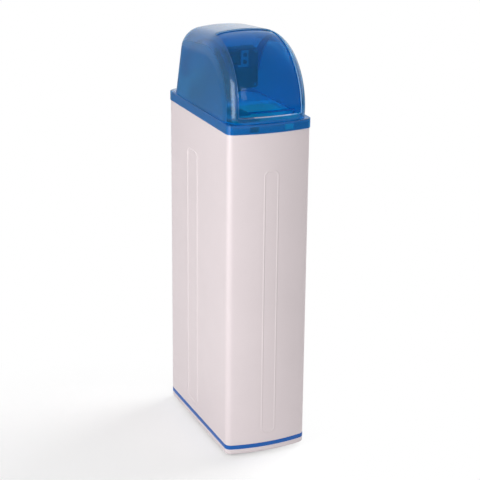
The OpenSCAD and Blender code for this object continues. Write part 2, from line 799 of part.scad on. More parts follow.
module hood() color([0.05, 0.3, 0.62]) {
  difference() {
    union() {
      difference() {
        hood_skin();
        block([-hw - 20, -hd - 20, shoulder_z - 150], [hw + 20, hd + 90, ledge_z - skin/2]);
        axis_frame() rotate_extrude(angle = win_ang) translate([arc_r - 60, -win_hw]) square([90, 2*win_hw]);
        block([-win_hw, -hd - 10, ledge_z + sill_h], [win_hw, -hd + 40, axis_z + 0.01]);
      }
      difference() {
        slab(ledge_z - skin, ledge_z, flange_out);
        hood_mouth();
      }
      difference() {
        slab(shoulder_z, ledge_z - skin + 0.5, flange_out);
        slab(shoulder_z - 1, ledge_z - skin, -skirt_in);
        hood_mouth();
      }
      rails();
      latch_notch(20, shoulder_z + 6, ledge_z - skin + 0.5, 3.2, 4.6);
    }
    block([-notch_hw, hd - 110, shoulder_z - 1], [notch_hw, hd + 30, shoulder_z + notch_h]);
  }
}

// Opening through the flange, a little inside the hood skin
module hood_mouth() {
  w = hood_hw - skin - 2.5;
  r = 22;
  y0 = -hd + skin + 6;
  y1 = hd - 74;
  translate([0, 0, ledge_z - skin - 1]) linear_extrude(skin + 3) {
    for (s = [-1, 1]) {
      translate([s*(w - r), y0 + r]) circle(r);
      translate([s*(w - r), y1 - r]) circle(r);
    }
    translate([-w + r, y0]) square([2*w - 2*r, y1 - y0]);
    translate([-w, y0 + r]) square([2*w, y1 - y0 - 2*r]);
  }
}

module visor() color([0.08, 0.4, 0.75]) {
  o1 = skin + visor_gap;
  axis_frame() {
    rotate([0, 0, -1]) rotate_extrude(angle = visor_end + 1) translate([arc_r, 0]) rotate(90) intersection() {
      translate([0, crown_r]) difference() {
        circle(crown_r - o1);
        circle(crown_r - o1 - visor_t);
      }
      translate([-visor_hw, 0]) square([2*visor_hw, 40]);
    }
    rotate([0, 0, 2]) rotate_extrude(angle = 1.6) translate([arc_r, 0]) rotate(90) intersection() {
      translate([0, crown_r]) difference() {
        circle(crown_r + 1);
        circle(crown_r - o1 - 0.5);
      }
      translate([-lip_hw, -5]) square([2*lip_hw, 45]);
    }
  }
}

cabinet_shell();
base_band();
feet();
top_deck();
salt_grid();
brine_well();
well_cap();
brine_valve();
brine_pickup();
brine_line();
float();
overflow_bush();
overflow_nut();
vessel();
vessel_boot();
riser_tube();
lower_basket();
upper_basket();
tank_seal();
valve_body();
seal_stack();
piston_plug();
piston();
drive_gear();
motor_pinion();
motor();
drive_plate();
circuit_board();
upper_cover();
lower_cover();
display_lens();
button_bezel();
button_up();
button_down();
cover_screws();
power_socket();
injector_cap();
brine_elbow();
inlet_tail();
outlet_tail();
union_nuts();
drain_fitting();
hood();
visor();
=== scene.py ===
import json
import math

import bmesh
import bpy
from mathutils import Matrix, Vector
from mathutils.geometry import tessellate_polygon

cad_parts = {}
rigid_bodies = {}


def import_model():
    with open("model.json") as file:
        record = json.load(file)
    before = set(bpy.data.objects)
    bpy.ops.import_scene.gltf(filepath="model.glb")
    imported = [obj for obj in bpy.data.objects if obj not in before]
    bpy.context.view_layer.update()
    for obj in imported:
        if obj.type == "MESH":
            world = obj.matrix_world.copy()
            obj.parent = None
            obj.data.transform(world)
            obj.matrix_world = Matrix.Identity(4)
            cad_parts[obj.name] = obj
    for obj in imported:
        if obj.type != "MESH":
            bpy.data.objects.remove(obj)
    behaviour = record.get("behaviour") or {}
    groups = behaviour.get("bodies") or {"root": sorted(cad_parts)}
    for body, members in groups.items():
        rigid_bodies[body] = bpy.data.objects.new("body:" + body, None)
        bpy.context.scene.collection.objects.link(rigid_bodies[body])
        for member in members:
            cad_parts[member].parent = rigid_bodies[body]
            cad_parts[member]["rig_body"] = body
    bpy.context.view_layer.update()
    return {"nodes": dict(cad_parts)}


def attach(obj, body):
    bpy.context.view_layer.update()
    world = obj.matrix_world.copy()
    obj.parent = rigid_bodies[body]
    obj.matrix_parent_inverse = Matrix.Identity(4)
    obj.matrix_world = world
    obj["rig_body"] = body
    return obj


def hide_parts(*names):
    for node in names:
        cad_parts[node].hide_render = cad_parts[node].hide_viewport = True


# Slim cabinet water softener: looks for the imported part, sizes in millimetres
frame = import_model()
nodes = frame["nodes"]
mm = 0.001
print("frame loaded:", len(nodes), "nodes")


# Mesh helpers

def linkObject(name, data):
    obj = bpy.data.objects.new(name, data)
    bpy.context.scene.collection.objects.link(obj)
    return obj


def softEdges(mesh, degrees):
    mesh.shade_smooth()
    mesh.set_sharp_from_angle(angle=math.radians(degrees))


def tidyMesh(mesh, outward=True):
    bm = bmesh.new()
    bm.from_mesh(mesh)
    bmesh.ops.remove_doubles(bm, verts=bm.verts, dist=2e-6)
    bmesh.ops.dissolve_degenerate(bm, edges=bm.edges, dist=1e-7)
    if outward:
        bmesh.ops.recalc_face_normals(bm, faces=bm.faces)
    bm.to_mesh(mesh)
    bm.free()


def scaledMesh(name, verts, faces=()):
    mesh = bpy.data.meshes.new(name)
    mesh.from_pydata([(x * mm, y * mm, z * mm) for x, y, z in verts], [], faces)
    return mesh


def makePiece(name, verts, faces, mats, degrees=32, outward=True):
    mesh = scaledMesh(name, verts, faces)
    tidyMesh(mesh, outward)
    for mat in mats:
        mesh.materials.append(mat)
    softEdges(mesh, degrees)
    return linkObject(name, mesh)


def settle(obj, degrees=32):
    # the evaluated mesh takes the place of the modifiers
    bpy.context.view_layer.update()
    deps = bpy.context.evaluated_depsgraph_get()
    fresh = bpy.data.meshes.new_from_object(obj.evaluated_get(deps), depsgraph=deps)
    obj.modifiers.clear()
    obj.data = fresh
    softEdges(fresh, degrees)
    return obj


def joinPieces(name, pieces):
    first = pieces[0]
    with bpy.context.temp_override(active_object=first, object=first, selected_objects=pieces,
                                   selected_editable_objects=pieces):
        bpy.ops.object.join()
    first.name = name
    first.data.name = name
    return first


def addBevel(obj, width, degrees):
    mod = obj.modifiers.new("bevel", "BEVEL")
    mod.width = width * mm
    mod.segments = 2
    mod.limit_method = "ANGLE"
    mod.angle_limit = math.radians(degrees)


def addWall(obj, thickness, even=True):
    # thickness is added behind the skin
    mod = obj.modifiers.new("wall", "SOLIDIFY")
    mod.thickness = thickness * mm
    mod.offset = -1.0
    mod.use_even_offset = even
    return mod


def gridFaces(rows, n, wrap=False, skip=None):
    # quads between rows of n points, apart from the cells (row, column) that are skipped
    faces = []
    for k in range(rows - 1):
        for i in range(n if wrap else n - 1):
            if skip and skip(k, i):
                continue
            j = (i + 1) % n
            faces.append((k * n + i, k * n + j, (k + 1) * n + j, (k + 1) * n + i))
    return faces


def sweepFaces(count, m, closedPath=False, closedSection=True):
    # quads between sections of m points that follow each other
    faces = []
    for i in range(count if closedPath else count - 1):
        j = (i + 1) % count
        for k in range(m if closedSection else m - 1):
            q = (k + 1) % m
            faces.append((i * m + k, j * m + k, j * m + q, i * m + q))
    return faces


def capFaces(verts, loops):
    # triangles that fill a face to the front, its outline first and then its holes
    flat = [i for loop in loops for i in loop]
    tris = tessellate_polygon([[Vector((verts[i][0], verts[i][2], 0)) for i in loop] for loop in loops])
    return [tuple(flat[i] for i in t) for t in tris]


def quarterRound(radius, steps):
    # (in from the side, back from the face) round a rolled edge
    turns = [math.pi / 2 * k / steps for k in range(steps + 1)]
    return [(radius * (1 - math.sin(a)), radius * (1 - math.cos(a))) for a in turns]


def lathe(name, profile, centre, axis, mats, steps=64, closed=True):
    # profile points are (radius, along the axis)
    verts = []
    for i in range(steps):
        a = 2 * math.pi * i / steps
        c, s = math.cos(a), math.sin(a)
        for r, h in profile:
            p = (r * c, h, r * s) if axis == "Y" else (r * c, r * s, h)
            verts.append(tuple(p[k] + centre[k] for k in range(3)))
    return makePiece(name, verts, sweepFaces(steps, len(profile), True, closed), mats)


def roundedOutline(x0, x1, z0, z1, r, steps=8):
    # counterclockwise in x and z, from the lower right corner
    pts = []
    corners = ((x1 - r, z0 + r, -90), (x1 - r, z1 - r, 0), (x0 + r, z1 - r, 90), (x0 + r, z0 + r, 180))
    for cx, cz, start in corners:
        for k in range(steps + 1):
            a = math.radians(start + 90 * k / steps)
            pts.append((cx + r * math.cos(a), cz + r * math.sin(a)))
    return pts


def circleOutline(cx, cz, r, steps=40):
    turns = [2 * math.pi * k / steps for k in range(steps)]
    return [(cx + r * math.cos(a), cz + r * math.sin(a)) for a in turns]


def insetOutline(pts, d):
    out = []
    n = len(pts)
    for i in range(n):
        ax, az = pts[i - 1]
        bx, bz = pts[(i + 1) % n]
        tx, tz = bx - ax, bz - az
        length = math.hypot(tx, tz) or 1.0
        out.append((pts[i][0] - d * tz / length, pts[i][1] + d * tx / length))
    return out


def facePlate(name, outline, holes, yFront, yBack, edge, mats, ease=0.25):
    # a plate that faces the front, its front edge rolled by the radius edge and its holes eased
    rings = [(d, yFront + back) for d, back in quarterRound(edge, 4)] + [(0.0, yBack)]
    n = len(outline)
    verts = [(x, y, z) for d, y in rings for x, z in insetOutline(outline, d)]
    faces = gridFaces(len(rings), n, True)
    starts = []
    for hole in holes:
        starts.append(len(verts))
        m = len(hole)
        for d, y in ((-ease, yFront), (0.0, yFront + ease), (0.0, yBack)):
            verts += [(x, y, z) for x, z in insetOutline(hole, d)]
        for k in range(2):
            b = starts[-1] + k * m
            for i in range(m):
                j = (i + 1) % m
                faces.append((b + i, b + m + i, b + m + j, b + j))
    for ring, holeRing in ((0, 0), (len(rings) - 1, 2)):
        loops = [list(range(ring * n, ring * n + n))]
        for start, hole in zip(starts, holes):
            b = start + holeRing * len(hole)
            loops.append(list(range(b, b + len(hole))))
        faces += capFaces(verts, loops)
    return makePiece(name, verts, faces, mats)


# Shader helpers

def addNode(tree, kind, **values):
    item = tree.nodes.new(kind)
    for key, value in values.items():
        setattr(item, key, value)
    return item


def link(tree, *pairs):
    for start, end in pairs:
        tree.links.new(start, end)


def feed(tree, value, sock):
    # a number goes on the socket, anything else is linked to it
    if isinstance(value, (int, float)):
        sock.default_value = value
    else:
        tree.links.new(value, sock)


def groupOf(name, inputs, outputs):
    tree = bpy.data.node_groups.new(name, "ShaderNodeTree")
    for label, kind, value in inputs:
        sock = tree.interface.new_socket(label, in_out="INPUT", socket_type=kind)
        if value is not None:
            sock.default_value = value
    for label, kind in outputs:
        tree.interface.new_socket(label, in_out="OUTPUT", socket_type=kind)
    return tree, tree.nodes.new("NodeGroupInput"), tree.nodes.new("NodeGroupOutput")


def mathNode(tree, operation, a, b=None, clamp=False):
    item = addNode(tree, "ShaderNodeMath", operation=operation, use_clamp=clamp)
    feed(tree, a, item.inputs[0])
    if b is not None:
        feed(tree, b, item.inputs[1])
    return item.outputs[0]


def noiseNode(tree, vector, scale, detail=3.0, rough=0.5):
    item = addNode(tree, "ShaderNodeTexNoise")
    link(tree, (vector, item.inputs["Vector"]))
    for label, value in (("Scale", scale), ("Detail", detail), ("Roughness", rough)):
        feed(tree, value, item.inputs[label])
    return item.outputs["Fac"]


def rangeNode(tree, value, low, high, outLow, outHigh):
    item = addNode(tree, "ShaderNodeMapRange")
    link(tree, (value, item.inputs["Value"]))
    for label, number in (("From Min", low), ("From Max", high), ("To Min", outLow), ("To Max", outHigh)):
        feed(tree, number, item.inputs[label])
    return item.outputs["Result"]


def blendColor(tree, mask, paint, other):
    mix = addNode(tree, "ShaderNodeMix", data_type="RGBA")
    link(tree, (mask, mix.inputs["Factor"]), (paint, mix.inputs["A"]))
    mix.inputs["B"].default_value = (*other, 1.0)
    return mix.outputs["Result"]


def blendShader(tree, mask, first, second, out):
    mix = addNode(tree, "ShaderNodeMixShader")
    link(tree, (mask, mix.inputs[0]), (first.outputs[0], mix.inputs[1]), (second.outputs[0], mix.inputs[2]),
         (mix.outputs[0], out.inputs["Surface"]))


def weighted(tree, a, weightA, b, weightB):
    return mathNode(tree, "ADD", mathNode(tree, "MULTIPLY", a, weightA), mathNode(tree, "MULTIPLY", b, weightB))


def mouldGrainGroup():
    # fine skin of a moulded surface, and a roughness that drifts over it
    tree, gin, gout = groupOf("mouldGrain", (("Vector", "NodeSocketVector", None),
                                             ("Scale", "NodeSocketFloat", 900.0),
                                             ("Rough", "NodeSocketFloat", 0.4),
                                             ("Spread", "NodeSocketFloat", 0.08)),
                              (("Height", "NodeSocketFloat"), ("Rough", "NodeSocketFloat")))
    fine = noiseNode(tree, gin.outputs["Vector"], gin.outputs["Scale"], 2.0, 0.6)
    wide = noiseNode(tree, gin.outputs["Vector"], 14.0, 4.0, 0.55)
    link(tree, (mathNode(tree, "ADD", fine, mathNode(tree, "MULTIPLY", wide, 0.6)), gout.inputs["Height"]))
    low = mathNode(tree, "SUBTRACT", gin.outputs["Rough"], gin.outputs["Spread"])
    high = mathNode(tree, "ADD", gin.outputs["Rough"], gin.outputs["Spread"])
    link(tree, (rangeNode(tree, weighted(tree, fine, 0.4, wide, 0.6), 0.3, 0.7, low, high), gout.inputs["Rough"]))
    return tree


def toneDriftGroup():
    # colour that is a little uneven, with a dusting on what faces up
    tree, gin, gout = groupOf("toneDrift", (("Vector", "NodeSocketVector", None),
                                            ("Color", "NodeSocketColor", (0.5, 0.5, 0.5, 1.0)),
                                            ("Drift", "NodeSocketFloat", 0.08),
                                            ("Dust", "NodeSocketFloat", 0.05)),
                              (("Color", "NodeSocketColor"),))
    wide = noiseNode(tree, gin.outputs["Vector"], 6.0, 4.0, 0.6)
    fine = noiseNode(tree, gin.outputs["Vector"], 240.0, 2.0, 0.6)
    low = mathNode(tree, "SUBTRACT", 1.0, gin.outputs["Drift"])
    high = mathNode(tree, "ADD", 1.0, gin.outputs["Drift"])
    gain = rangeNode(tree, weighted(tree, wide, 0.75, fine, 0.25), 0.3, 0.7, low, high)
    scaled = addNode(tree, "ShaderNodeVectorMath", operation="SCALE")
    up = addNode(tree, "ShaderNodeSeparateXYZ")
    link(tree, (gin.outputs["Color"], scaled.inputs[0]), (gain, scaled.inputs["Scale"]),
         (addNode(tree, "ShaderNodeNewGeometry").outputs["Normal"], up.inputs[0]))
    settled = mathNode(tree, "MULTIPLY", mathNode(tree, "MAXIMUM", up.outputs["Z"], 0.0), gin.outputs["Dust"])
    mask = mathNode(tree, "MULTIPLY", settled, rangeNode(tree, wide, 0.35, 0.65, 0.4, 1.0), clamp=True)
    link(tree, (blendColor(tree, mask, scaled.outputs[0], (0.62, 0.6, 0.58)), gout.inputs["Color"]))
    return tree


def edgeRubGroup():
    # mask that is high along rubbed outer edges
    tree, gin, gout = groupOf("edgeRub", (("Vector", "NodeSocketVector", None), ("Amount", "NodeSocketFloat", 0.5)),
                              (("Mask", "NodeSocketFloat"),))
    point = addNode(tree, "ShaderNodeNewGeometry").outputs["Pointiness"]
    edge = rangeNode(tree, point, 0.51, 0.6, 0.0, 1.0)
    worn = rangeNode(tree, noiseNode(tree, gin.outputs["Vector"], 70.0), 0.4, 0.65, 0.0, 1.0)
    mask = mathNode(tree, "MULTIPLY", mathNode(tree, "MULTIPLY", edge, worn), gin.outputs["Amount"], clamp=True)
    link(tree, (mask, gout.inputs["Mask"]))
    return tree


grainGroup, driftGroup, rubGroup = mouldGrainGroup(), toneDriftGroup(), edgeRubGroup()


def placeGroup(tree, group, vector, **values):
    item = addNode(tree, "ShaderNodeGroup", node_tree=group)
    link(tree, (vector, item.inputs["Vector"]))
    for label, value in values.items():
        item.inputs[label].default_value = value
    return item


def startFinish(name, color, drift, dust, scale, rough, spread, shown=1.0):
    # material whose colour and skin come from the shared groups
    mat = bpy.data.materials.new(name)
    mat.use_nodes = True
    mat.diffuse_color = (*color, shown)
    tree = mat.node_tree
    tree.nodes.clear()
    out = addNode(tree, "ShaderNodeOutputMaterial")
    shader = addNode(tree, "ShaderNodeBsdfPrincipled")
    vector = addNode(tree, "ShaderNodeTexCoord").outputs["Object"]
    tone = placeGroup(tree, driftGroup, vector, Color=(*color, 1.0), Drift=drift, Dust=dust).outputs["Color"]
    grain = placeGroup(tree, grainGroup, vector, Scale=scale, Rough=rough, Spread=spread)
    link(tree, (shader.outputs[0], out.inputs["Surface"]), (tone, shader.inputs["Base Color"]),
         (grain.outputs["Rough"], shader.inputs["Roughness"]))
    return mat, tree, out, shader, vector, tone, grain


def addBump(tree, shader, height, depth, distance):
    bump = addNode(tree, "ShaderNodeBump")
    bump.inputs["Strength"].default_value = depth
    bump.inputs["Distance"].default_value = distance
    link(tree, (height, bump.inputs["Height"]), (bump.outputs["Normal"], shader.inputs["Normal"]))


def plasticFinish(name, color, rough, spread, drift, dust, scale, depth,
                  metallic=0.0, coat=0.0, rub=0.0, rubColor=(0.6, 0.6, 0.6), specular=0.5, glow=0.0):
    mat, tree, out, shader, vector, paint, grain = startFinish(name, color, drift, dust, scale, rough, spread)
    if rub > 0:
        worn = placeGroup(tree, rubGroup, vector, Amount=rub)
        paint = blendColor(tree, worn.outputs["Mask"], paint, rubColor)
        link(tree, (paint, shader.inputs["Base Color"]))
    shader.inputs["Metallic"].default_value = metallic
    shader.inputs["Coat Weight"].default_value = coat
    shader.inputs["Specular IOR Level"].default_value = specular
    # the colour itself glows: painted light, used for the inside of the cabinet
    if glow > 0:
        link(tree, (paint, shader.inputs["Emission Color"]))
        shader.inputs["Emission Strength"].default_value = glow
    addBump(tree, shader, grain.outputs["Height"], depth, 0.0004)
    return mat


def tintedFinish(name, color, rough, spread, transmission, ior, hazeAndSheen=None):
    # see-through moulding: light that crosses it keeps the tint. On the flat sides the mask adds roughness for a milky
    # finish and a slightly paler colour, which is a painted sheen
    mat, tree, out, shader, vector, paint, grain = startFinish(name, color, drift=0.05, dust=0.0, scale=420.0,
                                                                  rough=rough, spread=spread, shown=0.6)
    if hazeAndSheen:
        split = addNode(tree, "ShaderNodeSeparateXYZ")
        link(tree, (vector, split.inputs[0]))
        climb = mathNode(tree, "SUBTRACT", split.outputs["Z"], hazeAndSheen["level"] * mm)
        across = mathNode(tree, "ADD", mathNode(tree, "ABSOLUTE", split.outputs["X"]),
                          mathNode(tree, "MULTIPLY", climb, hazeAndSheen["lean"]))
        mask = rangeNode(tree, across, hazeAndSheen["from"] * mm, hazeAndSheen["to"] * mm, 0.0, 1.0)
        mask.node.interpolation_type = "SMOOTHSTEP"
        gloss = mathNode(tree, "ADD", grain.outputs["Rough"], mathNode(tree, "MULTIPLY", mask, hazeAndSheen["rough"]))
        # the paler colour on the flat sides is painted sheen; the added roughness is their milky finish
        link(tree, (blendColor(tree, mask, paint, hazeAndSheen["color"]), shader.inputs["Base Color"]),
             (gloss, shader.inputs["Roughness"]))
    shader.inputs["Transmission Weight"].default_value = transmission
    shader.inputs["IOR"].default_value = ior
    addBump(tree, shader, grain.outputs["Height"], 0.03, 0.0003)
    clear = addNode(tree, "ShaderNodeBsdfTransparent")
    clear.inputs["Color"].default_value = (*[math.sqrt(c) for c in color], 1.0)
    path = addNode(tree, "ShaderNodeLightPath")
    blendShader(tree, path.outputs["Is Shadow Ray"], shader, clear, out)
    return mat


def woundFinish(name, color):
    # crossed windings of a filament-wound vessel under resin
    mat, tree, out, shader, vector, paint, grain = startFinish(name, color, drift=0.12, dust=0.06, scale=300.0,
                                                                  rough=0.32, spread=0.1)
    heights = []
    for turn in (0.28, -0.28):
        mapping = addNode(tree, "ShaderNodeMapping")
        mapping.inputs["Rotation"].default_value = (turn, 0.0, 0.0)
        wave = addNode(tree, "ShaderNodeTexWave", bands_direction="Z")
        wave.inputs["Scale"].default_value = 60.0
        wave.inputs["Distortion"].default_value = 0.6
        link(tree, (vector, mapping.inputs["Vector"]), (mapping.outputs["Vector"], wave.inputs["Vector"]))
        heights.append(wave.outputs["Fac"])
    addBump(tree, shader, mathNode(tree, "MAXIMUM", *heights), 0.35, 0.0008)
    shader.inputs["Coat Weight"].default_value = 0.3
    return mat


panel = {"x": -19.0, "z": 1012.5, "halfX": 15.0, "halfZ": 10.0, "soft": 0.5, "color": (0.02, 0.035, 0.045)}


def lensFinish(name, color):
    # dark display window with a paler panel behind it
    mat, tree, out, shader, vector, paint, grain = startFinish(name, color, drift=0.1, dust=0.0, scale=260.0,
                                                                  rough=0.1, spread=0.04)
    split = addNode(tree, "ShaderNodeSeparateXYZ")
    link(tree, (vector, split.inputs[0]))
    masks = []
    for label, middle, half in (("X", panel["x"], panel["halfX"]), ("Z", panel["z"], panel["halfZ"])):
        away = mathNode(tree, "ABSOLUTE", mathNode(tree, "SUBTRACT", split.outputs[label], middle * mm))
        masks.append(rangeNode(tree, away, (half - panel["soft"]) * mm, (half + panel["soft"]) * mm, 1.0, 0.0))
    mask = mathNode(tree, "MULTIPLY", *masks, clamp=True)
    link(tree, (blendColor(tree, mask, paint, panel["color"]), shader.inputs["Base Color"]))
    shader.inputs["Coat Weight"].default_value = 0.6
    return mat


finish = {
    "body_white": plasticFinish("satinWhite", (0.82, 0.728, 0.745), 0.34, 0.06, 0.02, 0.02, 700.0, 0.035),
    "band_blue": plasticFinish("bandBlue", (0.0, 0.115, 0.47), 0.3, 0.06, 0.06, 0.02, 700.0, 0.04),
    # flat sides: rougher milky finish, and a slightly paler colour as painted sheen
    "hood_blue": tintedFinish("hoodBlue", (0.0, 0.29, 0.57), 0.13, 0.03, 0.87, 1.42,
                              {"from": 103.8, "to": 106.2, "level": 914.0, "lean": 0.017, "color": (0.02, 0.29, 0.58),
                               "rough": 0.25}),
    "visor_blue": tintedFinish("visorBlue", (0.0, 0.31, 0.64), 0.05, 0.006, 0.9, 1.2),
    "pale_plastic": plasticFinish("palePlastic", (0.74, 0.76, 0.77), 0.42, 0.08, 0.05, 0.08, 800.0, 0.06),
    "tube_clear": plasticFinish("tubeMilky", (0.83, 0.84, 0.82), 0.3, 0.06, 0.05, 0.03, 500.0, 0.05),
    "black_plastic": plasticFinish("blackMoulding", (0.022, 0.023, 0.026), 0.42, 0.1, 0.2, 0.06, 900.0, 0.08,
                                   rub=0.35, rubColor=(0.1, 0.1, 0.11)),
    "black_rubber": plasticFinish("blackRubber", (0.018, 0.018, 0.019), 0.72, 0.08, 0.25, 0.1, 600.0, 0.12,
                                  specular=0.3),
    "vessel_skin": woundFinish("woundVessel", (0.055, 0.13, 0.27)),
    "seal_tan": plasticFinish("sealTan", (0.58, 0.53, 0.40), 0.6, 0.08, 0.1, 0.03, 700.0, 0.06),
    "piston_grey": plasticFinish("pistonGrey", (0.60, 0.60, 0.62), 0.3, 0.08, 0.06, 0.0, 900.0, 0.04, metallic=0.6),
    "gear_white": plasticFinish("gearNylon", (0.80, 0.79, 0.72), 0.45, 0.06, 0.05, 0.03, 900.0, 0.05),
    "brass": plasticFinish("turnedBrass", (0.62, 0.43, 0.16), 0.28, 0.1, 0.14, 0.02, 1200.0, 0.05, metallic=1.0,
                           rub=0.5, rubColor=(0.8, 0.62, 0.3)),
    "steel": plasticFinish("platedSteel", (0.56, 0.57, 0.58), 0.3, 0.1, 0.1, 0.02, 1100.0, 0.05, metallic=1.0),
    "board_green": plasticFinish("boardGreen", (0.02, 0.16, 0.07), 0.35, 0.08, 0.12, 0.02, 500.0, 0.05, coat=0.3),
    "cover_navy": plasticFinish("coverNavy", (0.018, 0.028, 0.06), 0.36, 0.08, 0.12, 0.05, 900.0, 0.06,
                                rub=0.25, rubColor=(0.1, 0.12, 0.17)),
    "lens": lensFinish("displayGlass", (0.006, 0.009, 0.016)),
    "bezel_pale": plasticFinish("bezelPale", (0.26, 0.30, 0.35), 0.38, 0.06, 0.05, 0.03, 900.0, 0.04),
    "button_dark": plasticFinish("buttonDark", (0.02, 0.022, 0.028), 0.5, 0.08, 0.12, 0.02, 800.0, 0.08),
}
# painted light: the inside faces glow a little, standing in for the daylight that the pale wall lets through to the
# inside
innerGlowFinish = plasticFinish("innerPaintedGlow", (0.82, 0.76, 0.77), 0.4, 0.06, 0.03, 0.0, 700.0, 0.04, glow=0.3)
# painted highlight: the hood's cut window edges get a paler tint, so that they show as bright lines
rimHighlightFinish = tintedFinish("hoodRimHighlight", (0.30, 0.55, 0.80), 0.16, 0.04, 0.35, 1.42)
print("materials:", len(finish) + 2)


def place(obj, body, slotName, *replaced):
    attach(obj, body)
    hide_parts(*replaced)
    return obj


# Geometry Nodes helpers: each tree becomes a plain mesh

def geometryTree(name, inputs):
    tree = bpy.data.node_groups.new(name, "GeometryNodeTree")
    tree.interface.new_socket("Geometry", in_out="INPUT", socket_type="NodeSocketGeometry")
    ids = {}
    for label, kind, value in (*inputs, ("Finish", "NodeSocketMaterial", None)):
        sock = tree.interface.new_socket(label, in_out="INPUT", socket_type=kind)
        if value is not None:
            sock.default_value = value
        ids[label] = sock.identifier
    tree.interface.new_socket("Geometry", in_out="OUTPUT", socket_type="NodeSocketGeometry")
    return tree, tree.nodes.new("NodeGroupInput"), ids


def endTree(tree, gin, source):
    # the result as a real mesh with the chosen finish
    real = addNode(tree, "GeometryNodeRealizeInstances")
    paint = addNode(tree, "GeometryNodeSetMaterial")
    gout = tree.nodes.new("NodeGroupOutput")
    link(tree, (source, real.inputs["Geometry"]), (real.outputs["Geometry"], paint.inputs["Geometry"]),
         (gin.outputs["Finish"], paint.inputs["Material"]), (paint.outputs["Geometry"], gout.inputs["Geometry"]))


def runTree(name, tree, ids, values, base=None):
    obj = linkObject(name, base or bpy.data.meshes.new(name))
    mod = obj.modifiers.new("nodes", "NODES")
    mod.node_group = tree
    for label, value in values.items():
        mod[ids[label]] = value
    settle(obj)
    tidyMesh(obj.data)
    softEdges(obj.data, 32)
    return obj


def pointRepeatTree():
    # one shape set down at every point of the base mesh
    tree, gin, ids = geometryTree("pointRepeat", (("Shape", "NodeSocketObject", None),))
    info = addNode(tree, "GeometryNodeObjectInfo")
    points = addNode(tree, "GeometryNodeInstanceOnPoints")
    link(tree, (gin.outputs["Shape"], info.inputs["Object"]), (gin.outputs["Geometry"], points.inputs["Points"]),
         (info.outputs["Geometry"], points.inputs["Instance"]))
    endTree(tree, gin, points.outputs["Instances"])
    return tree, ids


def ringRepeatTree():
    # one shape turned round the Z axis in equal steps
    tree, gin, ids = geometryTree("ringRepeat", (("Shape", "NodeSocketObject", None),
                                                 ("Count", "NodeSocketInt", 12),
                                                 ("Radius", "NodeSocketFloat", 0.01)))
    info = addNode(tree, "GeometryNodeObjectInfo")
    ring = addNode(tree, "GeometryNodeMeshCircle", fill_type="NONE")
    index = addNode(tree, "GeometryNodeInputIndex")
    combine = addNode(tree, "ShaderNodeCombineXYZ")
    points = addNode(tree, "GeometryNodeInstanceOnPoints")
    step = mathNode(tree, "DIVIDE", 2 * math.pi, gin.outputs["Count"])
    turn = mathNode(tree, "MULTIPLY", step, index.outputs[0])
    link(tree, (gin.outputs["Shape"], info.inputs["Object"]), (gin.outputs["Count"], ring.inputs["Vertices"]),
         (gin.outputs["Radius"], ring.inputs["Radius"]), (turn, combine.inputs["Z"]),
         (ring.outputs["Mesh"], points.inputs["Points"]), (info.outputs["Geometry"], points.inputs["Instance"]),
         (combine.outputs[0], points.inputs["Rotation"]))
    endTree(tree, gin, points.outputs["Instances"])
    return tree, ids


def threadTree():
    # a screw thread: a five-sided section swept along a spiral about Z
    tree, gin, ids = geometryTree("screwThread", (("Turns", "NodeSocketFloat", 8.0),
                                                  ("Radius", "NodeSocketFloat", 0.013),
                                                  ("Length", "NodeSocketFloat", 0.02),
                                                  ("Ridge", "NodeSocketFloat", 0.001)))
    spiral = addNode(tree, "GeometryNodeCurveSpiral")
    section = addNode(tree, "GeometryNodeCurvePrimitiveCircle")
    sweep = addNode(tree, "GeometryNodeCurveToMesh")
    spiral.inputs["Resolution"].default_value = 40
    section.inputs["Resolution"].default_value = 5
    sweep.inputs["Fill Caps"].default_value = True
    link(tree, (gin.outputs["Turns"], spiral.inputs["Rotations"]), (gin.outputs["Length"], spiral.inputs["Height"]),
         (gin.outputs["Radius"], spiral.inputs["Start Radius"]), (gin.outputs["Radius"], spiral.inputs["End Radius"]),
         (gin.outputs["Ridge"], section.inputs["Radius"]), (spiral.outputs["Curve"], sweep.inputs["Curve"]),
         (section.outputs["Curve"], sweep.inputs["Profile Curve"]))
    endTree(tree, gin, sweep.outputs["Mesh"])
    return tree, ids


pointRepeat, ringRepeat, screwThread = pointRepeatTree(), ringRepeatTree(), threadTree()


def setDown(name, shape, mat, spots):
    # the shape repeated at its spots, as one mesh
    obj = runTree(name, *pointRepeat, {"Shape": shape, "Finish": mat}, spots)
    bpy.data.objects.remove(shape)
    return obj


def layAlongY(obj, x, y, z):
    # a shape made about Z is turned to run back along +Y from a point
    obj.data.transform(Matrix.Translation((x * mm, y * mm, z * mm)) @ Matrix.Rotation(-math.pi / 2, 4, "X"))
    return obj


# Footprint of the cabinet

cabinet = {"halfWidth": 111.0, "halfDepth": 220.0, "cornerR": 18.0, "rearR": 30.0, "bowR": 425.0,
           "bottom": 10.0, "baseRound": 5.0, "shoulder": 870.0, "rim": 886.0, "rimIn": 1.6, "wall": 4.0,
           "floor": 14.0, "floorRound": 8.0, "floorIn": 26.0, "innerRows": (500.0, 200.0, 26.0),
           "bandLow": 24.5, "bandHigh": 36.0, "bandDepth": 2.0,
           "sideBead": 1.4, "frontBead": 0.7, "beadHalf": 2.8, "stripLow": 64.0, "stripHigh": 772.0,
           "frontHalf": 18.0, "frontCut": 7.0, "sideHalf": 34.0, "sideCut": 10.0, "sideMiddle": 38.0,
           "overflow": (63.0, 640.0), "overflowHalf": 9.0, "notchMiddle": 46.0, "notchHalf": 12.0, "notchLow": 874.0,
           "beadStep": 0.9, "wallStep": 14.0}
bowY = cabinet["bowR"] - cabinet["halfDepth"]
cornerX = cabinet["halfWidth"] - cabinet["cornerR"]
cornerY = bowY - math.sqrt((cabinet["bowR"] - cabinet["cornerR"]) ** 2 - cornerX ** 2)
bowTurn = math.asin(cornerX / (cabinet["bowR"] - cabinet["cornerR"]))
rearY = cabinet["halfDepth"] - cabinet["rearR"]
rearX = cabinet["halfWidth"] - cabinet["rearR"]


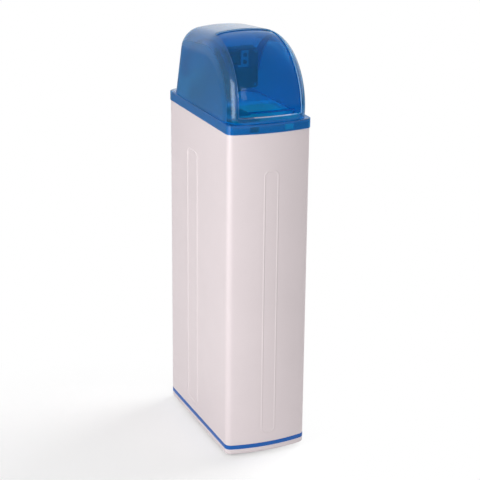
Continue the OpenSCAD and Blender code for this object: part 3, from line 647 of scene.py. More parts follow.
def spread(a, b, step, extra=()):
    # even stops from a to b, with some exact ones
    count = max(1, int(math.ceil(abs(b - a) / step)))
    stops = [a + (b - a) * k / count for k in range(count + 1)]
    for e in extra:
        if min(a, b) < e < max(a, b):
            stops = [s for s in stops if abs(s - e) > 0.35 * step or s in (a, b)]
            stops.append(e)
    return sorted(set(stops), reverse=b < a)


def planLoop(fineSide, fineFront, rearStops=(), frontStops=(), arcSteps=14):
    # points of the footprint with their outward normals, counterclockwise from the rear middle
    loop = []
    loop = []

    def corner(cx, cy, r, start, end):
        for k in range(arcSteps):
            a = start + (end - start) * k / arcSteps
            loop.append((cx + r * math.cos(a), cy + r * math.sin(a), math.cos(a), math.sin(a)))

    for x in spread(0.0, -rearX, 12.0, [-r for r in rearStops])[:-1]:
        loop.append((x, cabinet["halfDepth"], 0.0, 1.0))
    corner(-rearX, rearY, cabinet["rearR"], math.pi / 2, math.pi)
    for y in fineSide[:-1]:
        loop.append((-cabinet["halfWidth"], y, -1.0, 0.0))
    corner(-cornerX, cornerY, cabinet["cornerR"], math.pi, 1.5 * math.pi - bowTurn)
    edge = cabinet["bowR"] * math.sin(bowTurn)
    for x in spread(-edge, edge, fineFront, frontStops):
        a = math.asin(x / cabinet["bowR"])
        loop.append((x, bowY - cabinet["bowR"] * math.cos(a), math.sin(a), -math.cos(a)))
    left = [p for p in loop if p[0] < -1e-6]
    middle = [p for p in loop if abs(p[0]) <= 1e-6]
    right = [(-x, y, -nx, ny) for x, y, nx, ny in reversed(left)]
    front = [p for p in middle if p[1] < 0]
    rear = [p for p in middle if p[1] > 0]
    return rear + left + front + right


def sideStops():
    # stops along a side from the rear corner to the front corner, closer near the strip's edges
    mid, half, cut = cabinet["sideMiddle"], cabinet["sideHalf"], cabinet["sideCut"]
    edges = (rearY, mid + half + 6, mid + half - cut - 5, mid - half + cut + 5, mid - half - 6, cornerY)
    fine, wide = cabinet["beadStep"], cabinet["wallStep"]
    stops = [rearY]
    for high, low, step in zip(edges, edges[1:], (wide, fine, 6.0, fine, wide)):
        stops += spread(high, low, step)[1:]
    return stops


def stripDistance(s, z, half, cut):
    # distance to the outline of a strip with cut corners
    low, high = cabinet["stripLow"], cabinet["stripHigh"]
    qx = abs(s) - half
    qz = abs(z - (low + high) / 2) - (high - low) / 2
    return abs(max(qx, qz, (qx + qz + cut) / math.sqrt(2)))


def beadRelief(x, y, z, nx, ny):
    # height of the bead lines on the sides and the front
    if abs(nx) > 0.999:
        height = cabinet["sideBead"]
        d = stripDistance(y - cabinet["sideMiddle"], z, cabinet["sideHalf"], cabinet["sideCut"])
    elif ny < -0.97:
        height = cabinet["frontBead"]
        d = stripDistance(x, z, cabinet["frontHalf"], cabinet["frontCut"])
    else:
        return 0.0
    if d >= cabinet["beadHalf"]:
        return 0.0
    return height * math.cos(0.5 * math.pi * d / cabinet["beadHalf"]) ** 2


def buildCabinet():
    low, high, fine = cabinet["stripLow"], cabinet["stripHigh"], cabinet["beadStep"]
    nMid, nHalf, nLow = cabinet["notchMiddle"], cabinet["notchHalf"], cabinet["notchLow"]
    (ox, oz), hole = cabinet["overflow"], cabinet["overflowHalf"]
    bottom, wall, floor = cabinet["bottom"], cabinet["wall"], cabinet["floor"]
    frontStops = [s * (nMid + t * nHalf) for s in (-1, 1) for t in (-1, 1)]
    loop = planLoop(sideStops(), fine, (ox - hole, ox + hole), frontStops, 16)
    # rings are (height, out from the footprint), up the outside and down the inside
    rings = [(bottom, -24.0), (bottom, -6.0)]
    rings += [(bottom + up, -inset) for inset, up in quarterRound(cabinet["baseRound"], 5)[1:]]
    bl, bh, bd = cabinet["bandLow"], cabinet["bandHigh"], cabinet["bandDepth"]
    rings += [(bl - 1.0, 0.0), (bl - 0.35, -0.12), (bl, -0.6), (bl, -bd), (bh, -bd), (bh, -0.6),
              (bh + 0.35, -0.12), (bh + 1.0, 0.0)]
    zs = spread(bh + 3.0, low - 6.0, 8.0)
    zs += spread(low - 6.0, low + 16.0, fine)[1:]
    zs += spread(low + 16.0, high - 16.0, 40.0, (oz - hole, oz + hole))[1:]
    zs += spread(high - 16.0, high + 6.0, fine)[1:]
    zs += spread(high + 6.0, cabinet["shoulder"] - 3.0, 20.0)[1:]
    firstOuter = len(rings)
    rings += [(z, 0.0) for z in zs]
    sh, rim, ri = cabinet["shoulder"], cabinet["rim"], cabinet["rimIn"]
    rings += [(sh - 1.2, 0.0), (sh - 0.45, -0.14), (sh - 0.1, -0.5), (sh, -0.9), (sh, -ri + 0.1), (sh + 0.3, -ri)]
    notchStart = len(rings)
    rings += [(nLow, -ri), (rim - 0.5, -ri), (rim - 0.12, -ri - 0.15), (rim, -ri - 0.5), (rim, -wall + 0.4),
              (rim - 0.3, -wall + 0.05), (rim - 0.8, -wall), (nLow, -wall)]
    notchEnd = len(rings) - 1
    rings += [(z, -wall) for z in (oz + hole, oz - hole, *cabinet["innerRows"])]
    rings += [(floor + up, -wall - inset) for up, inset in quarterRound(cabinet["floorRound"], 4)[1:]]
    rings.append((floor, -cabinet["floorIn"]))
    n = len(loop)
    verts = []
    for k, (z, o) in enumerate(rings):
        for x, y, nx, ny in loop:
            d = o
            if firstOuter <= k < firstOuter + len(zs):
                d += beadRelief(x, y, z, nx, ny)
            verts.append((x + nx * d, y + ny * d, z))

    def cellX(i):
        return 0.5 * (loop[i][0] + loop[(i + 1) % n][0])

    def inNotch(i):
        return loop[i][1] < 0 and abs(abs(cellX(i)) - nMid) < nHalf

    def inBush(i):
        return loop[i][1] > 0 and abs(cellX(i) - ox) < hole

    bushRings = [k for k in range(len(rings) - 1)
                 if rings[k][1] in (0.0, -wall) and rings[k + 1][1] == rings[k][1]
                 and abs(0.5 * (rings[k][0] + rings[k + 1][0]) - oz) < hole]

    def isOpen(k, i):
        return notchStart <= k < notchEnd and inNotch(i) or k in bushRings and inBush(i)

    faces = gridFaces(len(rings), n, True, isOpen)
    for i in range(n):
        if not inNotch(i):
            continue
        j = (i + 1) % n
        faces.append((notchStart * n + i, notchStart * n + j, notchEnd * n + j, notchEnd * n + i))
        if not inNotch(i - 1):
            faces.append([k * n + i for k in range(notchStart, notchEnd + 1)])
        if not inNotch(j):
            faces.append([k * n + j for k in range(notchEnd, notchStart - 1, -1)])
    outerRings = [k for k in bushRings if rings[k][1] == 0.0]
    innerRings = [k for k in bushRings if rings[k][1] != 0.0]
    cells = [i for i in range(n) if inBush(i)]
    o0, o1 = min(outerRings), max(outerRings) + 1
    i1, i0 = min(innerRings), max(innerRings) + 1
    for i in cells:
        j = (i + 1) % n
        faces.append((o0 * n + i, o0 * n + j, i0 * n + j, i0 * n + i))
        faces.append((o1 * n + i, o1 * n + j, i1 * n + j, i1 * n + i))
    for i in (cells[0], (cells[-1] + 1) % n):
        faces.append([k * n + i for k in range(o0, o1 + 1)] + [k * n + i for k in range(i1, i0 + 1)])
    faces.append(tuple(reversed(range(n))))
    faces.append(tuple(range((len(rings) - 1) * n, len(rings) * n)))
    obj = makePiece("cabinetSkin", verts, faces, [finish["body_white"], innerGlowFinish], 40)
    # the inside faces and the inner floor take the painted glow
    for face in obj.data.polygons:
        out, c = face.normal, face.center
        face.material_index = int(out.x * c.x + out.y * c.y < -1e-4 or (out.z > 0.7 and c.z < 0.03))
    return obj


def closedSweep(name, loop, section, mats):
    # a closed section of (offset, height) carried round the footprint
    verts = [(x + nx * o, y + ny * o, z) for x, y, nx, ny in loop for o, z in section]
    return makePiece(name, verts, sweepFaces(len(loop), len(section), True), mats)


place(buildCabinet(), "cabinet", "body_white", "cabinet_shell")
coarseLoop = planLoop(spread(rearY, cornerY, 16.0), 8.0, arcSteps=18)
band = {"low": 24.6, "high": 35.9, "proud": 0.4, "deep": -1.9, "round": 0.7}
bandSection = [(band["deep"], band["low"]), (band["proud"] - band["round"], band["low"]),
               (band["proud"] - 0.2, band["low"] + 0.25), (band["proud"], band["low"] + band["round"]),
               (band["proud"], band["high"] - band["round"]), (band["proud"] - 0.2, band["high"] - 0.25),
               (band["proud"] - band["round"], band["high"]), (band["deep"], band["high"])]
place(closedSweep("baseBand", coarseLoop, bandSection, [finish["band_blue"]]), "cabinet", "band_blue", "base_band")
print("cabinet done")

# Feet: one ribbed foot set down four times
foot = {"x": 79.0, "y": 174.0, "radius": 16.0, "height": 10.0, "stem": 13.0, "groove": 0.8, "grooves": (3.0, 5.0)}
r = foot["radius"]
footProfile = [(0.0, 0.0), (4.0, 0.0), (4.5, 0.5), (9.0, 0.5), (9.5, 0.0), (r - 1.4, 0.0), (r - 0.3, 0.5), (r, 1.4)]
for z in foot["grooves"]:
    footProfile += [(r, z - 0.4), (r - foot["groove"], z), (r, z + 0.4)]
footProfile += [(r - 0.2, 6.6), (r - 1.0, 7.0), (foot["stem"], 7.0), (foot["stem"], foot["height"]),
                (0.0, foot["height"])]
footShape = lathe("footShape", footProfile, (0, 0, 0), "Z", [finish["black_rubber"]], 48, False)
feetPoints = scaledMesh("feetPoints", [(sx * foot["x"], sy * foot["y"], 0.0) for sx in (-1, 1) for sy in (-1, 1)])
place(setDown("rubberFeet", footShape, finish["black_rubber"], feetPoints), "cabinet", "black_rubber", "feet")
print("feet done")


# Hood: skin swept over the front arc, the flat top and the rear wall

hood = {"halfWidth": 109.5, "edgeR": 58.0, "crownR": 425.0, "arcR": 179.8, "arcEnd": 95.1, "topLen": 138.5,
        "rearR": 63.0, "rearEnd": 162.6, "axisY": -40.0, "axisZ": 914.0, "skin": 3.0, "ledge": 894.0, "reach": 62.4,
        "windowLow": 84.5, "windowHigh": 77.0, "windowTop": 92.0, "sill": 909.0, "notchHalf": 72.0, "notchTop": 946.0,
        "inner": 14, "outer": 22, "rim": 0.7, "under": 0.4, "sillTurn": 6.0, "arcRows": 40, "topRows": 8,
        "bendRows": 16, "wallRows": (930.0, 912.0)}
hoodEdgeX = hood["halfWidth"] - hood["edgeR"]
filletV = hood["crownR"] - math.sqrt((hood["crownR"] - hood["edgeR"]) ** 2 - hoodEdgeX ** 2)
crownTurn = math.asin(hoodEdgeX / (hood["crownR"] - hood["edgeR"]))
crownRun = hood["crownR"] * crownTurn


def sectionPoint(s, inset=0.0):
    # (x, depth below the crown) at a distance s along the section from its middle
    a = s / hood["crownR"]
    if a <= crownTurn:
        r = hood["crownR"] - inset
        return r * math.sin(a), hood["crownR"] - r * math.cos(a)
    b = min(crownTurn + (s - crownRun) / hood["edgeR"], math.pi / 2)
    r = hood["edgeR"] - inset
    return hoodEdgeX + r * math.sin(b), filletV - r * math.cos(b)


def sectionRun(x):
    # distance along the section to the point that is x from the middle
    if x <= hood["crownR"] * math.sin(crownTurn):
        return hood["crownR"] * math.asin(x / hood["crownR"])
    return crownRun + hood["edgeR"] * (math.asin((x - hoodEdgeX) / hood["edgeR"]) - crownTurn)


def hoodSection(stop):
    # the section from left to right, with one of its points at the width stop on each side
    near = sectionRun(stop)
    far = crownRun + hood["edgeR"] * (math.pi / 2 - crownTurn)
    runs = [near * k / hood["inner"] for k in range(hood["inner"])]
    runs += [near + (far - near) * k / hood["outer"] for k in range(hood["outer"] + 1)]
    right = [sectionPoint(s) for s in runs] + [(hood["halfWidth"], hood["reach"])]
    return [(-x, v) for x, v in reversed(right[1:])] + right


def windowStop(angle):
    # half width of the window, which narrows as it climbs
    t = max(angle, 0.0) / hood["windowTop"]
    return hood["windowLow"] - (hood["windowLow"] - hood["windowHigh"]) * t


def onArc(r, angle):
    # (y, z) at a radius and an angle about the visor's axis
    a = math.radians(angle)
    return hood["axisY"] - r * math.cos(a), hood["axisZ"] + r * math.sin(a)


def arcPoint(v, angle):
    return onArc(hood["arcR"] - v, angle)


def turnedPoint(u, w):
    return hood["axisY"] - u, hood["axisZ"] + w


def rearCentre():
    # middle of the bend at the rear of the top
    e, r = math.radians(hood["arcEnd"]), hood["arcR"] - hood["rearR"]
    return (r * math.cos(e) - hood["topLen"] * math.sin(e), r * math.sin(e) + hood["topLen"] * math.cos(e))


def hoodStations():
    # rows of skin points from the front base over the top to the rear base
    e, b = math.radians(hood["arcEnd"]), math.radians(hood["rearEnd"])
    base, turn = hood["ledge"] - hood["under"], hood["sillTurn"]
    rows, marks = [], {}

    def addRow(stop, spot):
        rows.append([(x, *spot(v)) for x, v in hoodSection(stop)])

    def angleAt(v, z):
        return math.degrees(math.asin((z - hood["axisZ"]) / (hood["arcR"] - v)))

    addRow(hood["windowLow"], lambda v: arcPoint(v, angleAt(v, base)))
    marks["sill"] = 1
    for t in (0.0, 0.25, 0.5, 0.75, 1.0):
        addRow(windowStop(turn * t), lambda v: arcPoint(v, angleAt(v, hood["sill"]) * (1 - t) + turn * t))
    steps = hood["arcRows"]
    for k in range(1, steps + 1):
        angle = turn + (hood["windowTop"] - turn) * k / steps
        addRow(windowStop(angle), lambda v: arcPoint(v, angle))
    marks["plate"] = len(rows) - 1
    addRow(hood["windowHigh"], lambda v: arcPoint(v, hood["arcEnd"]))
    steps = hood["topRows"]
    for k in range(1, steps + 1):
        along = hood["topLen"] * k / steps
        stop = hood["windowHigh"] + (hood["notchHalf"] - hood["windowHigh"]) * k / steps
        addRow(stop, lambda v: turnedPoint((hood["arcR"] - v) * math.cos(e) - along * math.sin(e),
                                           (hood["arcR"] - v) * math.sin(e) + along * math.cos(e)))
    cu, cw = rearCentre()
    steps = hood["bendRows"]
    for k in range(1, steps + 1):
        a = e + (b - e) * k / steps
        addRow(hood["notchHalf"], lambda v: turnedPoint(cu + (hood["rearR"] - v) * math.cos(a),
                                                        cw + (hood["rearR"] - v) * math.sin(a)))
    last = rows[-1]

    def downTo(z):
        return [(x, y - (z0 - z) * math.tan(b), z) for x, y, z0 in last]

    notch = downTo(hood["notchTop"])
    for t in (0.25, 0.5, 0.75, 1.0):
        rows.append([tuple(p + (q - p) * t for p, q in zip(*pair)) for pair in zip(last, notch)])
    marks["notch"] = len(rows) - 1
    for z in (*hood["wallRows"], base):
        rows.append(downTo(z))
    return rows, marks


def buildHood(mats):
    rows, marks = hoodStations()
    n = len(rows[0])
    middle, inner = n // 2, hood["inner"]

    def isOpen(k, i):
        # the window at the front and the notch at the rear
        return middle - inner <= i < middle + inner and (marks["sill"] <= k < marks["plate"] or k >= marks["notch"])

    faces = gridFaces(len(rows), n, skip=isOpen)
    for end in (0, n - 1):
        faces.append([k * n + end for k in range(len(rows))])
    mesh = scaledMesh("hoodSkin", [p for row in rows for p in row], faces)
    for mat in mats:
        mesh.materials.append(mat)
    bm = bmesh.new()
    bm.from_mesh(mesh)
    bmesh.ops.remove_doubles(bm, verts=bm.verts, dist=1e-6)
    bmesh.ops.recalc_face_normals(bm, faces=bm.faces)
    top = max(bm.faces, key=lambda f: f.calc_center_median().z)
    if top.normal.z < 0:
        bmesh.ops.reverse_faces(bm, faces=bm.faces)
    bm.to_mesh(mesh)
    bm.free()
    obj = linkObject("hoodSkin", mesh)
    wall = addWall(obj, hood["skin"])
    wall.use_quality_normals = True
    # the cut edges take the paler rim tint, the painted highlight
    wall.material_offset_rim = 1
    settle(obj, 40)
    addBevel(obj, hood["rim"], 55)
    return settle(obj, 40)


mouth = {"half": 103.0, "corner": 56.0, "front": -209.0, "rear": 146.0}


def mouthPoint(x, y, nx, ny):
    # point of the flange opening that faces a point of the footprint
    r = mouth["corner"]
    cx = mouth["half"] - r
    side = 1.0 if x > 0 else -1.0
    if abs(nx) > 0.9999:
        return side * mouth["half"], min(max(y, mouth["front"] + r), mouth["rear"] - r)
    if ny < 0:
        lean = math.atan2(abs(nx), -ny)
        if lean <= bowTurn + 1e-6:
            return x * cx / (cabinet["bowR"] * math.sin(bowTurn)), mouth["front"]
        a = (lean - bowTurn) / (math.pi / 2 - bowTurn) * math.pi / 2
        return side * (cx + r * math.sin(a)), mouth["front"] + r - r * math.cos(a)
    if abs(nx) < 1e-6:
        return x * cx / rearX, mouth["rear"]
    a = math.atan2(abs(nx), ny)
    return side * (cx + r * math.sin(a)), mouth["rear"] - r + r * math.cos(a)


flange = {"out": 1.95, "low": 870.0, "high": 894.0, "thick": 3.0, "skirtIn": -1.0}


def buildFlange(mats):
    cut = hood["notchHalf"]
    loop = planLoop(spread(rearY, cornerY, cabinet["wallStep"]), 6.0, (cut,), arcSteps=20)
    keep = [p for p in loop if not (p[1] > 0 and abs(p[0]) < cut - 0.01)]
    start = next(i for i, p in enumerate(keep) if p[0] < 0)
    path = keep[start:] + keep[:start]
    out, low, high = flange["out"], flange["low"], flange["high"]
    skirt = [(flange["skirtIn"], high - flange["thick"]), (flange["skirtIn"], low), (out - 0.5, low),
             (out, low + 0.5), (out, high - 1.6), (out - 0.2, high - 0.75), (out - 0.75, high - 0.2), (out - 1.6, high)]
    verts = []
    m = len(skirt) + 2
    for x, y, nx, ny in path:
        verts += [(x + nx * o, y + ny * o, z) for o, z in skirt]
        mx, my = mouthPoint(x, y, nx, ny)
        verts += [(mx, my, high), (mx, my, high - flange["thick"])]
    faces = sweepFaces(len(path), m)
    faces.append(list(range(m)))
    faces.append(list(range((len(path) - 1) * m, len(path) * m)))
    return makePiece("hoodFlange", verts, faces, mats, 40)


rail = {"in": 84.0, "thick": 2.5, "clear": 0.6, "from": 4.0, "to": 166.0, "sunk": 2.0, "steps": 60}


def wallReach(r, angle):
    # half width at which a point on the visor's circle meets the hood's wall
    a, e, b = (math.radians(d) for d in (angle, hood["arcEnd"], hood["rearEnd"]))
    u, w = r * math.cos(a), r * math.sin(a)
    cu, cw = rearCentre()
    deep = hood["arcR"] - r
    if a > e:
        deep = min(hood["arcR"] - u * math.cos(e) - w * math.sin(e),
                   hood["rearR"] - (u - cu) * math.cos(b) - (w - cw) * math.sin(b))
    r = hood["edgeR"] - rail["sunk"]
    lean = min(max((filletV - deep) / r, 0.0), 1.0)
    return hoodEdgeX + r * math.sqrt(1 - lean * lean)


def buildRails(mats):
    # inner ledges that the visor runs on
    inset = hood["skin"] + 2 * visor["gap"] + visor["thick"] + rail["clear"]
    outer = hood["arcR"] - sectionPoint(sectionRun(visor["lowHalf"]), inset)[1]
    low, near, steps = outer - rail["thick"], rail["in"], rail["steps"]
    pieces = []
    for side in (-1, 1):
        verts = []
        for k in range(steps + 1):
            angle = rail["from"] + (rail["to"] - rail["from"]) * k / steps
            far = wallReach(outer, angle)
            for r, x in ((low, near), (outer, near), (outer, far), (low, far)):
                verts.append((side * x, *onArc(r, angle)))
        faces = sweepFaces(steps + 1, 4) + [(0, 1, 2, 3), tuple(range(steps * 4, steps * 4 + 4))]
        pieces.append(makePiece("hoodRail", verts, faces, mats, 40))
    return pieces


visor = {"lap": 4.0, "lowHalf": 88.5, "gap": 0.8, "thick": 2.5, "start": -1.0, "end": 98.0, "columns": 36,
         "rowStep": 2.2, "edge": 0.6, "lipHalf": 62.0, "lipLow": 2.0, "lipHigh": 3.6, "lipOut": 180.4,
         "lipSunk": 0.4, "lipTaper": 7.0}
hoodPieces = [buildHood([finish["hood_blue"], rimHighlightFinish]), buildFlange([finish["hood_blue"]])]
hoodPieces += buildRails([finish["hood_blue"]])
place(joinPieces("hoodShell", hoodPieces), "hood", "hood_blue", "hood")
print("hood done")


# Visor: a crowned sheet on the same axis, with a finger lip

def buildVisor(mats):
    inset, columns = hood["skin"] + visor["gap"], visor["columns"]
    angles = spread(visor["start"], visor["end"], visor["rowStep"])
    verts = []
    for angle in angles:
        run = sectionRun(windowStop(angle) + visor["lap"])
        for i in range(columns + 1):
            s = run * (2 * i / columns - 1)
            x, v = sectionPoint(abs(s), inset)
            verts.append((math.copysign(x, s), *arcPoint(v, angle)))
    obj = makePiece("visorSheet", verts, gridFaces(len(angles), columns + 1), mats, 40, False)
    if obj.data.polygons[0].normal.y > 0:
        obj.data.flip_normals()
    addWall(obj, visor["thick"], False)
    settle(obj, 40)
    addBevel(obj, visor["edge"], 55)
    settle(obj, 40)
    xs = spread(-visor["lipHalf"], visor["lipHalf"], 4.0)
    turns = [math.pi * k / 12 for k in range(13)]
    profile = [(math.sin(t), 0.5 * (1 - math.cos(t))) for t in turns]
    verts = []
    for x in xs:
        taper = min(1.0, (visor["lipHalf"] - abs(x)) / visor["lipTaper"])
        taper = math.sqrt(max(0.02, 1 - (1 - taper) ** 2))
        base = hood["arcR"] - sectionPoint(sectionRun(abs(x)), inset)[1] - visor["lipSunk"]
        for up, along in profile:
            r = base + up * taper * (visor["lipOut"] - hood["arcR"] + inset + visor["lipSunk"])
            verts.append((x, *onArc(r, visor["lipLow"] + along * (visor["lipHigh"] - visor["lipLow"]))))
    m = len(profile)
    faces = sweepFaces(len(xs), m) + [tuple(range(m)), tuple(range((len(xs) - 1) * m, len(xs) * m))]
    return joinPieces("visorSheet", [obj, makePiece("visorLip", verts, faces, mats, 40)])


place(buildVisor([finish["visor_blue"]]), "visor", "visor_blue", "visor")
print("visor done")


# Control head

head = {"half": 52.0, "low": 934.0, "high": 1037.0, "split": 985.0, "front": -8.0, "back": 30.0, "corner": 7.0,
        "roll": 3.0, "wall": 2.5, "gap": 0.6, "buttonX": 14.5, "buttonZ": (1021.0, 1003.0), "buttonR": 5.2,
        "buttonRoom": 0.4}


def buildCover(name, zOpen, zEnd, holes, mats):
    # a cup that is open at the split and at the back
    sign = 1.0 if zEnd > zOpen else -1.0
    r, half = head["corner"], head["half"]
    line = [(-half, zOpen)]
    for cx, start in ((-half + r, 180.0), (half - r, 90.0)):
        for k in range(9):
            a = math.radians(start - 90.0 * k / 8)
            line.append((cx + r * math.cos(a), zEnd - sign * r + sign * r * math.sin(a)))
    line.append((half, zOpen))
    rings = [(d, head["front"] + back) for d, back in quarterRound(head["roll"], 5)] + [(0.0, head["back"])]
    n = len(line)
    verts = []
    for d, y in rings:
        for i, (x, z) in enumerate(line):
            ax, az = line[max(i - 1, 0)]
            bx, bz = line[min(i + 1, n - 1)]
            tx, tz = bx - ax, bz - az
            length = math.hypot(tx, tz)
            nx, nz = tz / length * sign, -tx / length * sign
            if i in (0, n - 1):
                nz = 0.0
            verts.append((x + nx * d, y, z + nz * d))
    faces = gridFaces(len(rings), n)
    loops = [list(range(n))]
    for hole in holes:
        b = len(verts)
        verts += [(x, head["front"], z) for x, z in hole]
        loops.append(list(range(b, b + len(hole))))
    obj = makePiece(name, verts, faces + capFaces(verts, loops), mats, 40)
    if sum(p.normal.y for p in obj.data.polygons if abs(p.normal.y) > 0.99) > 0:
        obj.data.flip_normals()
    addWall(obj, head["wall"])
    return settle(obj, 40)


buttonHoles = [circleOutline(head["buttonX"], z, head["buttonR"] + head["buttonRoom"]) for z in head["buttonZ"]]
place(buildCover("upperCover", head["split"] + head["gap"], head["high"], buttonHoles, [finish["cover_navy"]]),
      "cabinet", "cover_navy", "upper_cover")
place(buildCover("lowerCover", head["split"], head["low"], [], [finish["black_plastic"]]),
      "cabinet", "cover_navy", "lower_cover")
# outlines are left, right, low, high and the radius of the corners
lens = {"outline": (-40.0, 2.0, 997.5, 1030.0, 2.5), "front": -8.4, "back": -6.5, "edge": 0.35}
lensPlate = facePlate("displayLens", roundedOutline(*lens["outline"]), [], lens["front"], lens["back"], lens["edge"],
                      [finish["lens"]])
place(lensPlate, "cabinet", "lens", "display_lens")
bezel = {"outline": (5.0, 24.5, 990.0, 1033.0, 2.2), "front": -8.6, "edge": 0.5, "back": -7.0,
         "footOutline": (-4.0, 8.0, 990.2, 995.8, 1.4), "footFront": -8.5, "footEdge": 0.4}
bezelPlate = facePlate("buttonBezel", roundedOutline(*bezel["outline"]), buttonHoles, bezel["front"], bezel["back"],
                       bezel["edge"], [finish["bezel_pale"]])
bezelFoot = facePlate("bezelFoot", roundedOutline(*bezel["footOutline"]), [], bezel["footFront"], bezel["back"],
                      bezel["footEdge"], [finish["bezel_pale"]])
place(joinPieces("buttonBezel", [bezelPlate, bezelFoot]), "cabinet", "bezel_pale", "button_bezel")
for name, node, z in zip(("upperButton", "lowerButton"), ("button_up", "button_down"), head["buttonZ"]):
    r, y = head["buttonR"], head["front"]
    profile = [(0.0, y - 2.1), (2.2, y - 2.15), (3.8, y - 2.45), (4.5, y - 2.6), (4.95, y - 2.45), (r, y - 2.1),
               (r, y + 2.6), (r + 1.4, y + 2.6), (r + 1.4, y + 3.5), (2.0, y + 3.5), (2.0, y + 6.6), (0.0, y + 6.6)]
    place(lathe(name, profile, (head["buttonX"], 0.0, z), "Y", [finish["button_dark"]], 48, False),
          node, "button_dark", node)

# Cover screws: a pan head with a socket, set down at its places
screw = {"places": ((-44.0, 942.0), (44.0, 942.0), (44.0, 1029.0)),
         "profile": ((0.0, -0.5), (1.5, -0.5), (1.5, -1.3), (2.0, -1.4), (2.8, -1.2), (3.25, -0.75), (3.4, -0.2),
                     (3.4, 0.0), (0.0, 0.0))}
screwShape = lathe("screwShape", screw["profile"], (0, 0, 0), "Y", [finish["steel"]], 24, False)
screwPoints = scaledMesh("screwPoints", [(x, head["front"], z) for x, z in screw["places"]])
place(setDown("coverScrews", screwShape, finish["steel"], screwPoints), "cabinet", "steel", "cover_screws")
print("control head done")


# Pipe tails: a turned body with a thread, and the ribbed nuts behind

tail = {"x": 38.0, "y0": 160.0, "y1": 216.0, "z": 915.0, "radius": 13.2, "neck": 12.6, "bore": 9.0,
        "collar": 16.6, "neckTo": 181.4, "threadFrom": 186.0, "turns": 12.0, "ridge": 0.95}
for name, node, sign in (("inletTail", "inlet_tail", -1), ("outletTail", "outlet_tail", 1)):
    y0, y1, r, b = tail["y0"], tail["y1"], tail["radius"], tail["bore"]
    profile = [(b, y0), (tail["collar"] - 0.5, y0), (tail["collar"], y0 + 0.5), (tail["collar"], y0 + 5.5),
               (tail["collar"] - 0.5, y0 + 6.0), (tail["neck"], y0 + 6.0), (tail["neck"], tail["neckTo"]),
               (r, tail["neckTo"] + 0.6), (r, tail["threadFrom"] - 2.0),
               (r - 0.9, tail["threadFrom"] - 1.0), (r - 0.9, y1 - 1.2), (r - 2.0, y1), (b + 0.8, y1), (b, y1 - 0.8)]
    body = lathe(name, profile, (sign * tail["x"], 0.0, tail["z"]), "Y", [finish["brass"]], 72)
    thread = runTree(name + "Thread", *screwThread,
                     {"Turns": tail["turns"], "Radius": (r - tail["ridge"]) * mm,
                      "Length": (y1 - tail["threadFrom"] - 3.0) * mm, "Ridge": tail["ridge"] * mm,
                      "Finish": finish["brass"]})
    layAlongY(thread, sign * tail["x"], tail["threadFrom"] + 1.0, tail["z"])
    place(joinPieces(name, [body, thread]), "cabinet", "brass", node)

nut = {"radius": 19.0, "y0": 166.0, "length": 14.0, "bore": 13.0, "ribs": 16}
nutPieces = []
ribSection = ((-1.0, -1.5), (1.0, -1.1), (1.0, 1.1), (-1.0, 1.5))
ribFaces = [(0, 1, 2, 3), (4, 5, 6, 7), (0, 1, 5, 4), (1, 2, 6, 5), (2, 3, 7, 6), (3, 0, 4, 7)]
ribShape = makePiece("ribShape", [(x, y, z) for z in (1.5, nut["length"] - 1.5) for x, y in ribSection], ribFaces,
                     [finish["black_plastic"]])
for sign in (-1, 1):
    r, b, y0, y1 = nut["radius"], nut["bore"], nut["y0"], nut["y0"] + nut["length"]
    profile = [(b, y0 + 0.6), (b + 0.6, y0), (r - 1.0, y0), (r, y0 + 1.0), (r, y1 - 1.2), (r - 1.2, y1), (b + 0.6, y1),
               (b, y1 - 0.6)]
    nutPieces.append(lathe("unionNut", profile, (sign * tail["x"], 0.0, tail["z"]), "Y",
                           [finish["black_plastic"]], 64))
    ribs = runTree("nutRibs", *ringRepeat, {"Shape": ribShape, "Count": nut["ribs"], "Radius": (r - 0.1) * mm,
                                            "Finish": finish["black_plastic"]})
    nutPieces.append(layAlongY(ribs, sign * tail["x"], y0, tail["z"]))
bpy.data.objects.remove(ribShape)
place(joinPieces("unionNuts", nutPieces), "cabinet", "black_plastic", "union_nuts")

drain = {"z": 915.0, "y0": 152.0, "y1": 212.0, "barbFrom": 176.0, "bore": 4.5, "collar": 9.5, "neck": 6.1,
         "radius": 6.5, "barbs": 4}
b, c, r, y0, y1 = (drain[k] for k in ("bore", "collar", "radius", "y0", "y1"))
profile = [(b, y0), (c - 0.5, y0), (c, y0 + 0.5), (c, y0 + 5.5), (c - 0.5, y0 + 6.0), (drain["neck"], y0 + 6.0)]
barbStep = (y1 - drain["barbFrom"]) / drain["barbs"]
for k in range(drain["barbs"]):
    y = drain["barbFrom"] + k * barbStep
    profile += [(r - 0.9, y), (r, y + 0.4), (r - 1.0, y + barbStep - 0.3)]
profile += [(r - 1.3, y1), (b + 0.1, y1), (b, y1 - 0.4)]
place(lathe("drainFitting", profile, (0.0, 0.0, drain["z"]), "Y", [finish["black_plastic"]], 48),
      "cabinet", "black_plastic", "drain_fitting")
print("fittings done")


# Other nodes: merged copies with eased edges

runningGap = {"piston": 0.25, "seal_stack": 0.35}  # taken off all round, so that the piston runs free


def dressNode(node, name, slotName, width):
    source = nodes[node]
    mesh = source.data.copy()
    mesh.materials.clear()
    mesh.materials.append(finish[slotName])
    bm = bmesh.new()
    bm.from_mesh(mesh)
    bmesh.ops.remove_doubles(bm, verts=bm.verts, dist=3e-6)
    bmesh.ops.dissolve_limit(bm, angle_limit=math.radians(0.5), verts=bm.verts, edges=bm.edges)
    for face in bm.faces:
        face.material_index = 0
    if node in runningGap:
        bm.normal_update()
        for v in bm.verts:
            v.co -= v.normal * runningGap[node] * mm
    bm.to_mesh(mesh)
    bm.free()
    mesh.name = name
    obj = linkObject(name, mesh)
    addBevel(obj, width, 40)
    settle(obj, 34)
    return place(obj, source["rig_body"], slotName, node)


